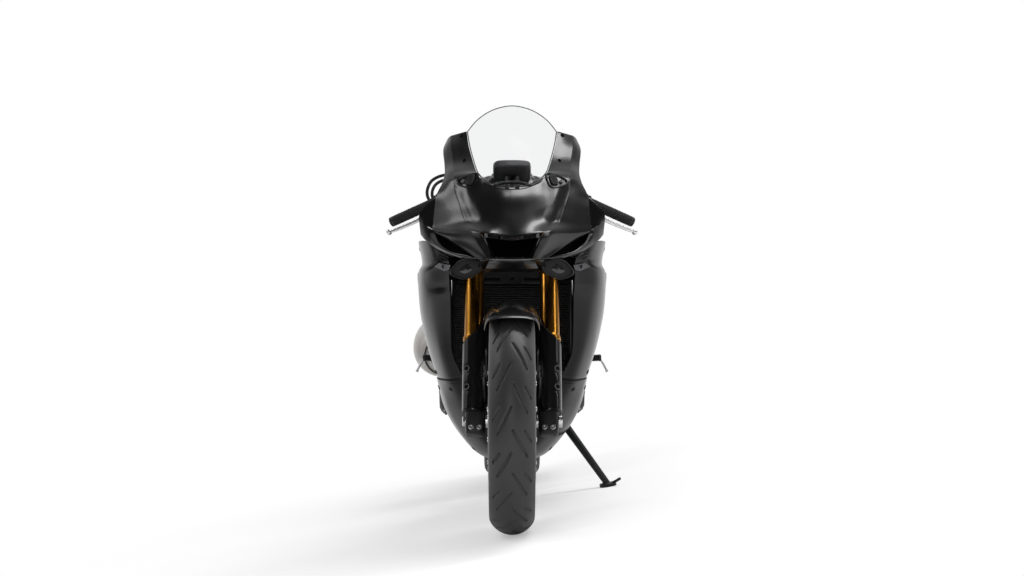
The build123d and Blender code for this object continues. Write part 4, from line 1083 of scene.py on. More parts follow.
    def bars(self) -> None:
        """Ribbed grips, bar ends and switch pods turned about the bar, with buttons and the clamps' bolts."""
        grips, ends, pods, buttons, bolts = Shape(), Shape(), Shape(), Shape(), Shape()
        for side in SIDES:
            start = bar_point(0.0, side)
            line = bar_point(100.0, side) - start
            unit, per = line / np.linalg.norm(line), np.linalg.norm(line) / 100.0
            station = np.linspace(214.0, 330.0, 117)
            rib = 14.2 + 0.5 * np.sign(np.sin(station * 2 * math.pi / 5.0))
            collar = [(209.0, 11.2), (209.0, 18.0), (210.5, 19.0), (213.0, 19.0), (214.0, 15.4)]
            grips.turned([(x * per, r) for x, r in collar + list(zip(station, rib)) + [(331.0, 13.6), (331.0, 11.2)]],
                         start, unit, 28)
            ends.turned([(x * per, r) for x, r in ((330.5, 11), (331, 14.2), (334, 14.6), (336, 13.2), (338, 14.4),
                                                   (341, 13.6), (342, 11.5), (342, 5), (340.5, 4.5))], start, unit, 28)
            pods.turned([(x * per, r) for x,
                         r in ((179, 12), (180, 18.6), (182, 20), (191, 20.4), (193, 19.4), (195, 20.4), (204, 20),
                               (206, 18.6), (207, 12))], start, unit, 28)
            for x in (186.0, 200.0):
                buttons.turned([(0, 5), (5, 5), (6, 4), (6, 1)], bar_point(x, side, -12.0, -13.0), (0, 0.7, 0.7), 14)
            bolts.bolts(fork((side * 66.0, 4.0, 673.0)), -side * ACROSS)
        grips.build("grips", GRIP, Body.STEERING)
        ends.build("bar_ends", CAST_BLACK, Body.STEERING)
        pods.build("switch_pods", MATT, Body.STEERING)
        buttons.build("switch_buttons", GREY_TRIM_AND_HIGHLIGHT, Body.STEERING)
        bolts.build("clip_on_bolts", ZINC, Body.STEERING)

    def levers(self) -> None:
        """Lever blades as rounded sections along their stations, with ball ends, on black perches."""
        # along the bar, ahead of it, below it, half-depth, height
        table = [(180, 34, 14, 9.0, 15.0), (206, 52, 24, 7.0, 15.0), (262, 56, 31, 6.0, 13.0), (318, 54, 30, 6.0, 12.0),
                 (343, 52, 28, 6.0, 8.0)]
        t, ahead, down, deep, high = curve(table, 10).T
        perches = Shape()
        for side, name in ((1.0, "clutch_lever"), (-1.0, "brake_lever")):
            blade = Shape()
            middle = np.stack([bar_point(*row) for row in np.stack([t, np.full_like(t, side), ahead, down], -1)])
            unit = oval(3.0, 20)
            groove = 1 - 0.22 * gauss(unit[:, 1], 0.25) * (unit[:, 0] < 0)
            blade.solid(middle[:, None] + deep[:, None, None] * (unit[:, 0] * groove)[None, :, None] * BACK
                       + high[:, None, None] / 2 * unit[None, :, 1:] * UP)
            ball = bar_point(344.0, side, 52.0, 28.0)
            theta = np.linspace(0.05, math.pi - 0.05, 14)
            blade.turned(np.stack([-8.5 * np.cos(theta), 8.5 * np.sin(theta)], -1), ball, ACROSS, 24)
            blade.build(name, ALLOY, Body.STEERING)
            perches.turned([(0, 12), (0, 18), (1.5, 19), (17, 19), (19, 18), (19, 12)], bar_point(157.0, side),
                           bar_point(200.0, side) - bar_point(157.0, side), 28)
            perches.tube(curve([bar_point(166, side, 6, 0), bar_point(174, side, 24, 8),
                                bar_point(184, side, 38, 15)], 5), 9.0, 16)
            perches.turned([(-9, 5), (-9, 8), (9, 8), (9, 5)], bar_point(182, side, 36, 14), (0, 0.35, 0.94), 16)
        perches.tube([bar_point(145, -1, 32, -6), bar_point(186, -1, 32, -6)], 12.0, 24)
        perches.build("lever_perches", CAST_BLACK, Body.STEERING, bevel=0.6)

    def lines(self) -> None:
        """Reservoir cup, and throttle cables and brake hose along smooth routes, with the hose's fittings."""
        foot, axis = np.array((-152.0, 262.0, 940.0)), np.array((0.0, 4.0, 32.0))
        cup = Shape().turned([(0, 13), (1, 16), (3, 16.8), (22, 16.8), (23, 18.0), (30, 18.0), (32, 17), (32, 5)],
                             foot, axis, 36)
        cup.build("brake_reservoir", MATT, Body.STEERING)
        outer = [(-206, 276, 905), (-226, 288, 898), (-237, 296, 910), (-238, 304, 932), (-226, 318, 957),
                 (-198, 330, 972), (-168, 338, 973), (-134, 340, 954)]
        inner = [(-204, 272, 908), (-214, 282, 902), (-223, 291, 908), (-224, 300, 927), (-214, 314, 947),
                 (-192, 326, 959), (-166, 334, 960), (-134, 336, 946)]
        shape = Shape()
        for route in (outer, inner):
            shape.tube(curve(route, 8), 4.4, 14)
        shape.build("throttle_cables", GRIP, Body.STEERING)
        hose = [bar_point(142.4, -1, 32, -6), (-124, 212, 908), (-92, 196, 884), (-62, 180, 852), (-46, 154, 806),
                (-40, 138, 768), fork((-40, -24, 449))]
        Shape().tube(curve(hose, 8), 3.8, 12).build("brake_hose", GRIP, Body.STEERING)
        fittings = Shape()
        for point, axis in ((hose[0], np.subtract(hose[1], hose[0])), (hose[-1], np.subtract(hose[-2], hose[-1]))):
            fittings.turned([(-2, 5.5), (10, 5.5), (11, 4.4), (20, 4.4), (20, 3)], point, axis, 12)
        fittings.build("hose_fittings", ZINC, Body.STEERING)

    def build(self) -> None:
        """Makes every steering piece."""
        self.fork_legs()
        self.fender()
        self.calipers()
        self.bars()
        self.levers()
        self.lines()


# ---- bodywork ---------------------------------------------------------------------------------------
# Nets of the left half: rows from top to bottom, each point (x, y, z) from the middle outwards and back.
SCREEN = np.array((
    ((0, 296, 1166), (38, 298, 1160), (71, 300, 1146), (101, 298, 1123), (125, 290, 1093)),
    ((0, 234, 1107), (40, 238, 1101), (75, 245, 1088), (105, 253, 1070), (118, 247, 1052)),
    ((0, 164, 1044), (38, 169, 1039), (69, 181, 1029), (94, 193, 1017), (106, 194, 1007)),
    ((0, 102, 981), (34, 107, 979), (61, 118, 977), (83, 133, 975), (95, 141, 973)),
    ((0, 49, 925), (30, 53, 928), (55, 66, 936), (75, 84, 946), (86, 102, 959))), float)
ARM = np.array((
    ((128, 289, 1094), (148, 296, 1089), (172, 306, 1083), (178, 312, 1079), (183, 319, 1074)),
    ((121, 248, 1053), (145, 256, 1055), (172, 269, 1053), (183, 278, 1048), (193, 289, 1042)),
    ((109, 194, 1008), (135, 203, 1008), (164, 216, 1005), (177, 228, 1002), (188, 238, 999)),
    ((98, 141, 974), (129, 153, 977), (161, 168, 974), (174, 178, 971), (186, 190, 967)),
    ((89, 102, 955), (121, 115, 957), (158, 135, 952), (176, 149, 947), (192, 164, 941))), float)
HOOD = np.array((
    ((0, 49, 920), (30, 53, 922), (55, 66, 930), (75, 84, 940), (89, 102, 955), (121, 115, 957), (158, 135, 952)),
    ((0, 20, 891), (28, 24, 894), (54, 36, 900), (75, 49, 906), (95, 63, 912), (123, 80, 915), (148, 102, 913)),
    ((0, -7, 858), (28, -3, 861), (52, 7, 866), (73, 18, 871), (93, 30, 875), (113, 44, 876), (130, 59, 874)),
    ((0, -38, 822), (26, -35, 824), (46, -28, 828), (63, -19, 831), (79, -10, 833), (95, 2, 833), (110, 15, 831)),
    ((0, -65, 789), (22, -65, 792), (42, -64, 795), (57, -62, 798), (69, -58, 800), (78, -53, 801), (85, -48, 801))),
    float)
SIDE = np.array((
    ((158, 135, 952), (176, 149, 947), (192, 164, 941)),
    ((148, 102, 913), (179, 122, 911), (207, 142, 906)),
    ((130, 59, 874), (172, 93, 871), (211, 128, 868)),
    ((110, 15, 831), (164, 64, 832), (214, 114, 831)),
    ((85, -48, 801), (150, 30, 802), (212, 100, 808)),
    ((67, -67, 765), (112, -12, 768), (160, 46, 780)),
    ((53, -77, 730), (71, -62, 729), (90, -42, 730))), float)
WING = np.array((
    ((207, 142, 906), (208, 143, 905), (210, 144, 904)),
    ((211, 128, 868), (230, 130, 868), (247, 134, 866)),
    ((214, 114, 836), (235, 122, 842), (254, 134, 848)),
    ((212, 100, 808), (233, 110, 822), (253, 128, 835))), float)
LIP = np.array((
    ((90, -42, 730), (120, -5, 740), (150, 26, 747), (174, 50, 757), (198, 78, 780), (212, 100, 808), (233, 110, 822),
     (253, 128, 835)),
    ((71, -62, 729), (124, 4, 732), (153, 38, 739), (184, 68, 751), (213, 98, 767), (228, 116, 778), (240, 132, 788),
     (250, 148, 800))), float)
FAIRING = np.array((
    ((206, 172, 770), (238, 214, 784), (262, 300, 785), (264, 420, 777), (240, 560, 764), (214, 625, 752)),
    ((176, 152, 735), (216, 184, 732), (249, 272, 728), (254, 410, 716), (236, 575, 696), (212, 655, 684)),
    ((172, 160, 704), (232, 202, 698), (262, 292, 693), (264, 425, 680), (242, 590, 656), (214, 676, 640)),
    ((170, 200, 622), (222, 226, 612), (257, 316, 602), (262, 440, 592), (240, 610, 578), (210, 702, 566)),
    ((170, 240, 528), (212, 258, 526), (245, 344, 524), (250, 466, 518), (232, 620, 506), (206, 706, 496)),
    ((166, 278, 466), (200, 292, 465), (230, 374, 461), (236, 470, 456), (228, 570, 450), (216, 632, 446)),
    ((138, 334, 400), (178, 344, 396), (208, 410, 396), (218, 470, 398), (219, 530, 400), (215, 566, 400))), float)
BELLY = np.array((
    ((138, 336, 394), (178, 346, 390), (208, 412, 390), (218, 470, 392), (219, 530, 394), (215, 562, 394)),
    ((104, 384, 330), (146, 394, 326), (186, 454, 322), (202, 510, 322), (206, 550, 324), (204, 576, 326)),
    ((80, 410, 284), (122, 418, 280), (164, 484, 276), (182, 540, 272), (184, 580, 270), (180, 612, 268)),
    ((56, 434, 236), (98, 444, 230), (140, 520, 224), (154, 600, 220), (154, 690, 216), (146, 780, 212)),
    ((34, 462, 190), (58, 470, 182), (92, 548, 170), (104, 640, 162), (104, 720, 158), (98, 790, 158)),
    ((0.5, 486, 156), (20, 490, 152), (36, 570, 138), (42, 650, 132), (40, 730, 130), (34, 800, 134))), float)
TANK = ((388, 96, 812, 846, 902), (420, 132, 804, 862, 944), (470, 158, 790, 870, 976), (540, 168, 766, 866, 986),
        (620, 160, 740, 846, 976), (700, 138, 720, 822, 944), (760, 114, 716, 802, 906), (798, 92, 724, 790, 870))
SEAT = ((799, 70, 800, 824, 848), (860, 84, 800, 822, 846), (940, 116, 800, 824, 846), (1020, 132, 806, 836, 856),
        (1084, 128, 818, 852, 878), (1112, 116, 836, 872, 900))
PILLION = ((1122, 74, 902, 926, 944), (1180, 92, 906, 934, 958), (1270, 84, 916, 946, 974), (1360, 66, 934, 964, 990),
           (1400, 50, 946, 974, 992))
TAIL = ((1113, 126, 806, 848, 880), (1130, 132, 808, 858, 898), (1200, 130, 826, 878, 902), (1300, 118, 856, 902, 912),
        (1400, 98, 886, 930, 942), (1450, 88, 904, 948, 990), (1540, 70, 934, 970, 1008), (1640, 48, 966, 990, 1012),
        (1690, 30, 984, 1000, 1012))


@dataclass
class Cowl:
    """Screen, nose, side panels, intake and lamps: what faces the wind."""

    per: int = 8
    # how far the frame face beside the intake runs out from the side panel's inner edge, and how far it comes
    # forward there, row by row
    face: tuple[float, ...] = (1.0, 4.0, 9.0, 14.0, 19.0, 19.0, 9.0)
    proud: tuple[float, ...] = (0.0, 0.0, 0.5, 2.0, 8.0, 8.0, 2.0)

    def nose(self) -> tuple[Array, Array]:
        """The left half of the hood, and the arm's front face that rises from it without a break.

        Each is smoothed with the other's next row beside it, and the arm's lowest row is pulled onto the hood.

        Returns:
            The hood's grid and the arm's.
        """
        above = HOOD[0] * 2 - HOOD[1]
        above[4:] = ARM[3, :3]
        hood = smooth(np.concatenate([above[None], HOOD]), self.per)[self.per:]
        arm = smooth(np.concatenate([ARM[:, :3], HOOD[1:2, 4:]]), self.per)[:-self.per]
        arm = pull(arm, hood[0, 4 * self.per:])
        return hood, arm

    def side(self) -> tuple[Array, Array, Array, Array, Array]:
        """The side panel's parts, which meet edge to edge; the lip bows forward by a sine each way.

        Returns:
            Grids of its frame face, its broad face, the arm's edge, the wing and the lip.
        """
        per = self.per
        run = SIDE[:, 1] - SIDE[:, 0]
        share = (np.array(self.face) / np.abs(run[:, 0]))[:, None]
        crease = SIDE[:, 0] + share * run - BACK * np.array(self.proud)[:, None]
        edge_face = smooth(np.stack([SIDE[:, 0], crease], 1), per, 3)
        broad = smooth(np.stack([crease, (crease + SIDE[:, 2]) / 2 * 0.25 + SIDE[:, 1] * 0.75, SIDE[:, 2]], 1), per)
        rim = smooth(ARM[:, 2:], per)
        wing = pull(smooth(WING, per), broad[per:4 * per + 1, -1], first=True)
        lip = smooth(LIP, per)
        lip[0, -2 * per - 1:] = wing[-1]
        bow = np.sin(math.pi * np.linspace(0, 1, per + 1))[:, None]
        lip[:, :, 1] -= 7.0 * bow * np.sin(math.pi * np.linspace(0.0, 1.0, lip.shape[1]))[None]
        return edge_face, broad, rim, wing, lip

    def panels(self) -> None:
        """The nose cowl with both arms, a side panel each side with its wing and lip, and a near-black recess between,
        whose black is painted shade.
        """
        hood, arm = self.nose()
        grids = self.side()
        face = grids[0]
        face[:len(hood), 0] = hood[:, -1]
        shape = Shape()
        for grid in (hood, arm, face):
            shape.pair(grid)
        shape.build("nose_cowl", PAINT, wall=PANEL_WALL, bevel=0.7)
        for side, name in ((1, "cowl_left"), (-1, "cowl_right")):
            shape = Shape()
            for grid in grids[1:]:
                shape.next().grid(sided(grid, side))
            shape.build(name, PAINT, wall=PANEL_WALL, bevel=0.7)
        # the recess is a near-black sheet set back between the side panel and the lip: painted shade for the gap
        upper = grids[1][4 * self.per:, -1]
        lower = grids[4][0, :5 * self.per + 1][::-1]
        lower = lower[np.linspace(0, len(lower) - 1, len(upper)).astype(int)]
        middle = (upper + lower) / 2 + np.array([6.0, 62.0, 0.0])
        rows = np.stack([upper + (0.5, 2.0, 0.5), (upper + middle) / 2 + (0, 22, 4), middle,
                         (lower + middle) / 2 + (0, 22, -4), lower + (0.5, 2.0, -0.5)])
        Shape().pair(rows).build("cowl_recesses", NEAR_BLACK_AND_SHADE, wall=1.2)

    def screen(self) -> None:
        """Clear bubble: the net smoothed, swollen by a sine each way up to 7 mm at its middle, with a black rim."""
        grid = smooth(whole(SCREEN), 8, 6)
        u = np.sin(math.pi * np.linspace(0, 1, grid.shape[0]))[:, None]
        v = np.sin(math.pi * np.linspace(0, 1, grid.shape[1]))[None]
        grid[..., 1] -= 6.0 * u * v
        grid[..., 2] += 3.0 * u * v
        Shape().grid(grid).build("windscreen", CLEAR, wall=3.0, bevel=0.8)
        rim = np.concatenate([grid[:, 0], grid[-1, 1:], grid[::-1, -1][1:]])
        Shape().tube(rim, 1.5, 8).build("screen_edge", MATT)
        Shape().tube(grid[0], 1.5, 8).build("screen_top_edge", GREY_TRIM_AND_HIGHLIGHT)
        bolts = Shape()
        for x, y, z in ((141, 283, 1082), (131, 198, 1006)):
            for s in SIDES:
                bolts.turned([(-2, 5.6), (0.6, 5.6), (2.0, 4.6), (2.4, 2.8), (0.8, 2.4)], (s * x, y, z),
                             (s * -0.12, -0.80, 0.58), 18)
        bolts.build("screen_bolts", NEAR_BLACK_AND_SHADE)

    def pads(self) -> None:
        """Blanking pads where the mirrors were: a rounded-triangle well, a ribbed block and a screw."""
        wells, blocks, screws = Shape(), Shape(), Shape()
        out = np.array([0.35, -0.72, 0.60])
        out /= np.linalg.norm(out)
        right = np.cross(out, UP)
        right = -right / np.linalg.norm(right)
        up = np.cross(right, out) * (1 if np.cross(right, out)[2] > 0 else -1)
        border = curve([(-27, 17), (-20, 24), (0, 21), (22, 10), (31, -1), (24, -11), (0, -22), (-18, -25), (-27, -16)],
                       5, closed=True)
        block = oval(5.0, 28) * (11.0, 17.5)
        for s in SIDES:
            turn = np.array([s, 1.0, 1.0])
            at = local(np.array([121.0, 104.0, 945.0]) * turn, right * np.sign(right[0]) * turn, up * turn, out * turn)
            wells.solid(at(sections(2, border, (0, 0),
                                    ((-3.0, 1.10), (2.2, 1.08), (2.6, 1.0), (1.2, 0.93), (-1.5, 0.90)))))
            blocks.solid(at(sections(2, block, (-9, 1),
                                     ((-2, 1.0), (4.2, 1.0), (5.2, 0.92), (5.2, 0.80), (4.4, 0.76)))))
            for y in np.arange(6) * 4.2 - 9.0:
                blocks.tube(at([(-16.0, y, 4.6), (-2.0, y, 4.6)]), 1.1, 8)
            screws.turned([(-1, 5), (3.4, 5), (4.2, 4), (4.2, 2.4), (2.2, 2.2)], at((13.0, -3.0, 0.0)), out * turn, 16)
        wells.build("mirror_wells", PAINT, bevel=0.3)
        blocks.build("mirror_blanks", MATT, bevel=0.3)
        screws.build("mirror_screws", GREY_TRIM_AND_HIGHLIGHT)

    def intake(self) -> None:
        """Ram-air duct: rounded trapezoids tapering back to a plate that closes the throat, in near-black that is
        painted shade, with a grey tube along the lower lip that is a painted highlight.
        """
        mouth = np.array([(72, -52, 787), (0, -57, 779), (-72, -52, 787), (-60, -60, 760), (-47, -66, 735),
                          (0, -68, 733), (47, -66, 735), (60, -60, 760)], float)
        back = np.array([(58, 92, 787), (0, 92, 787), (-58, 92, 787), (-52, 92, 766), (-42, 92, 741), (0, 92, 741),
                         (42, 92, 741), (52, 92, 766)], float)
        f = np.linspace(0, 1, 9)[:, None, None]
        duct = Shape().grid(mouth * (1 - f) + back * f, around=True)
        # the plate that closes the throat: painted shade for the duct's depth
        duct.grid(np.stack([back, back * (0.0, 1.0, 0.0) + (0.0, -2.0, 764.0)]), around=True)
        duct.build("air_intake", NEAR_BLACK_AND_SHADE, wall=1.6)
        # a grey tube along the lower lip: painted highlight
        lip = curve([(-60, -71, 731), (-46, -75, 728.5), (0, -80, 727.5), (46, -75, 728.5), (60, -71, 731)], 8)
        Shape().tube(lip, 1.8, 10).build("intake_lip", GREY_TRIM_AND_HIGHLIGHT)
        chin = [[(0, -78, 727), (30, -76, 727), (56, -68, 728)], [(0, -72, 716), (34, -64, 716), (64, -44, 718)],
                [(0, -60, 706), (38, -40, 704), (70, -12, 706)], [(0, -20, 697), (44, 8, 695), (78, 40, 700)]]
        grid = np.array(chin, float)
        shape = Shape()
        for i in range(3):
            for j in range(2):
                shape.next().pair(grid[i:i + 2, j:j + 2])
        shape.next().pair(np.array([[(56, -68, 728), (84, -44, 727)], [(78, 40, 700), (96, 40, 702)]], float))
        shape.build("chin_panel", PAINT, wall=3.0, bevel=0.8, sharp=8)

    def lamps(self) -> None:
        """Projector lamps: a rounded-hexagon bezel, a domed glass over a dark eye, and a bucket behind."""
        bezels, glasses, buckets, eyes = Shape(), Shape(), Shape(), Shape()
        outline = curve([(-44, 6), (-34, 20), (-6, 26), (14, 24), (28, 13), (41, -6), (34, -18), (2, -27), (-34, -11)],
                        5, closed=True)

        def ring(scale: float, y: float) -> Array:
            """The outline about the lamp's middle, scaled, at a depth that runs back outwards."""
            x, z = outline.T * scale
            return np.stack([124.0 + x, y + 0.30 * x, 704.0 + z], -1)

        bezels.both(Shape().grid(np.stack([ring(1.0, 46), ring(1.02, 20), ring(1.0, 16), ring(0.93, 16), ring(0.91, 22),
                                           ring(0.88, 34)]), around=True))
        dome = [ring(0.90, 31), ring(0.80, 28), ring(0.58, 24), ring(0.32, 21), ring(0.08, 20)]
        glasses.both(Shape().solid(np.stack(dome)))
        buckets.both(Shape().solid(np.stack([ring(0.98, 22), ring(0.99, 40), ring(0.90, 58), ring(0.70, 70),
                                             ring(0.42, 76)])))
        eyes.both(Shape().turned([(0, 9.5), (2, 9.5), (3, 7.5), (1.5, 6.5), (1.5, 1)], (118.0, 21.0, 708.0),
                                 (-0.1, -1, 0.05), 32))
        brow = np.stack([ring(0.93, 24), ring(0.40, 33) + (16.0, 5.0, 8.0)])[:, 14:31]
        eyes.both(Shape().grid(brow[::-1]))
        bezels.build("headlight_bezels", CAST_BLACK)
        buckets.build("headlights", MATT)
        glasses.build("headlight_glasses", LENS)
        eyes.build("headlight_eyes", GLASS_DARK)

    def dash(self) -> None:
        """Instrument: a rounded case on its stay, with a dark glass; both are ovals up the case's own axis."""
        at = tilted((0.0, 172.0, 972.0), -50)
        outline = oval(5.0, 40) * (52.0, 33.0)
        case = ((-13, 0.86), (-10, 0.96), (0, 1.0), (9, 1.0), (12.5, 0.97), (13, 0.92), (11.5, 0.90))
        face = ((11.2, 0.86), (12.2, 0.84), (12.8, 0.5), (13.0, 0.05))
        Shape().solid(at(sections(2, outline, (0, 0), case))).build("instrument_panel", MATT, bevel=0.3)
        Shape().solid(at(sections(2, outline, (0, 2), face))).build("instrument_glass", GLASS_DARK)
        stay = Shape()
        for x in (-14.0, 14.0):
            stay.tube(curve([(x, 166, 958), (x, 146, 902), (x, 116, 852), (x, 84, 808)], 6), 6.5, 12)
        stay.tube(curve([(-60, 120, 930), (-30, 132, 940), (0, 137, 943), (30, 132, 940), (60, 120, 930)], 6), 5.0, 12)
        stay.build("instrument_stay", CAST_BLACK)

    def build(self) -> None:
        """Makes every piece of the cowl."""
        self.panels()
        self.screen()
        self.pads()
        self.intake()
        self.lamps()
        self.dash()


@dataclass
class Fairings:
    """Side fairings and belly pans with their creases, scoops and fasteners."""

    per: int = 8

    def build(self) -> None:
        """Makes the panels from their nets, each split at its crease, with its front edge turned in as a return.

        Bells in the fairing's height and width make its scoop and bulge, smooth steps make its hollow.
        """
        per = self.per
        grid = smooth(FAIRING, per)
        scoop = 14.0 * gauss(grid[..., 2] - 668.0, 26.0) * gauss(grid[..., 0] - 196.0, 34.0) * (grid[..., 1] < 330)
        bulge = 6.0 * gauss(grid[..., 2] - 704.0, 14.0) * gauss(grid[..., 0] - 232.0, 30.0) * (grid[..., 1] < 360)
        grid[..., 1] += scoop - bulge
        # a hollow behind the wheel, whose upper edge is the panel's second character line
        line = grid[..., 2] - 600.0 + 0.28 * (grid[..., 1] - 480.0)
        hollow = ramp(-line, 0.0, 34.0) * ramp(line + 190.0, 0.0, 90.0) * ramp(grid[..., 1] - 400.0, 0.0, 60.0)
        grid[..., 0] -= 6.0 * hollow * ramp(680.0 - grid[..., 1], 0.0, 50.0)
        belly = smooth(BELLY, per)
        for side, word in ((1, "left"), (-1, "right")):
            for name, net, crease, last, depth in (("side_fairing_", grid, per, len(grid), 26.0),
                                                   ("belly_pan_", belly, 3 * per, 3 * per + 1, 22.0)):
                shape = Shape().grid(sided(net[:crease + 1], side)).next().grid(sided(net[crease:], side))
                edge = net[:last, :1]
                shape.next().grid(sided(np.concatenate([edge + np.array([-3.0, depth, 0.0]), edge], 1), side))
                shape.build(name + word, PAINT, wall=PANEL_WALL, bevel=0.8)
        self.seams(grid, belly)
        self.fasteners(grid, belly)
        self.louvres()
        self.gills(grid)

    def gills(self, grid: Array) -> None:
        """Three slanting near-black strips laid on the hollow of each side panel, along steps of its grid: painted
        shade standing for gill slots.

        Args:
            grid: the left panel's grid.
        """
        shape = Shape()
        for k in range(3):
            path = grid[np.arange(14, 27, 2), np.arange(7) + 22 + 4 * k] + np.array([0.6, 0.0, 0.0])
            shape.both(Shape().tube(curve(path, 3), 5.0, 10, 0.35))
        shape.build("side_gills", NEAR_BLACK_AND_SHADE)

    def seams(self, grid: Array, belly: Array) -> None:
        """A strip behind the joint of fairing and pan: their edges and the line between, moved inwards.

        Args:
            grid: the left fairing's grid.
            belly: the left belly pan's grid.
        """
        low, high = grid[-1], belly[0]
        inwards = np.array([-6.0, 3.0, 0.0])
        rows = np.stack([low + inwards + (0, 0, 9), (low + high) / 2 + inwards, high + inwards - (0, 0, 9)])
        Shape().pair(rows).build("seam_strips", MATT, wall=1.2)

    def fasteners(self, grid: Array, belly: Array) -> None:
        """Quarter-turn screws set on the panels along their outward normals.

        Args:
            grid: the left fairing's grid.
            belly: the left belly pan's grid.
        """
        shape = Shape()
        spots = [(grid, i, j) for i, j in ((2, 22), (2, 34), (14, 38), (30, 38), (44, 36), (46, 18))]
        spots += [(belly, i, j) for i, j in ((3, 10), (3, 24), (3, 36), (18, 38), (30, 38), (30, 20))]
        for source, i, j in spots:
            normal = np.cross(source[i + 1, j] - source[i, j], source[i, j + 1] - source[i, j])
            normal /= np.linalg.norm(normal)
            for s in SIDES:
                turn = np.array([s, 1.0, 1.0])
                shape.turned([(-1, 7.0), (0.8, 7.0), (1.8, 5.8), (1.8, 3.6), (0.4, 3.2)], source[i, j] * turn,
                             normal * turn, 16)
        shape.build("fairing_screws", MATT)

    def louvres(self) -> None:
        """Four slim blades in the shadow between the lip and the fairing, and a grey tab each side, its grey a painted
        highlight, with a near-black slot on it that is painted shade.
        """
        blades, tabs = Shape(), Shape()
        for k in range(4):
            x, z = 166.0 + 11.0 * k, 742.0 - 2.5 * k
            blades.both(Shape().tube(curve([(x - 6, 118 + 8 * k, z - 3), (x + 6, 124 + 8 * k, z + 2),
                                            (x + 20, 136 + 8 * k, z + 8)], 4), 2.2, 8, 0.5))
        # the tab's grey stands for the light that the fairing's crease catches: painted highlight; the slot on it is
        # painted shade
        outline = [(168, 150, 716), (200, 158, 722), (214, 170, 712), (186, 164, 700), (172, 156, 704)]
        tabs.both(Shape().prism(outline, (0.0, 4.0, 1.0)))
        slots = Shape().both(Shape().prism([(186, 152.5, 708), (189, 153, 716), (193, 154, 717), (191, 154, 708)],
                                           (0.0, 2.0, 0.0)))
        blades.build("vent_blades", MATT)
        tabs.build("fairing_tabs", GREY_TRIM_AND_HIGHLIGHT, bevel=0.8)
        slots.build("tab_slots", NEAR_BLACK_AND_SHADE)


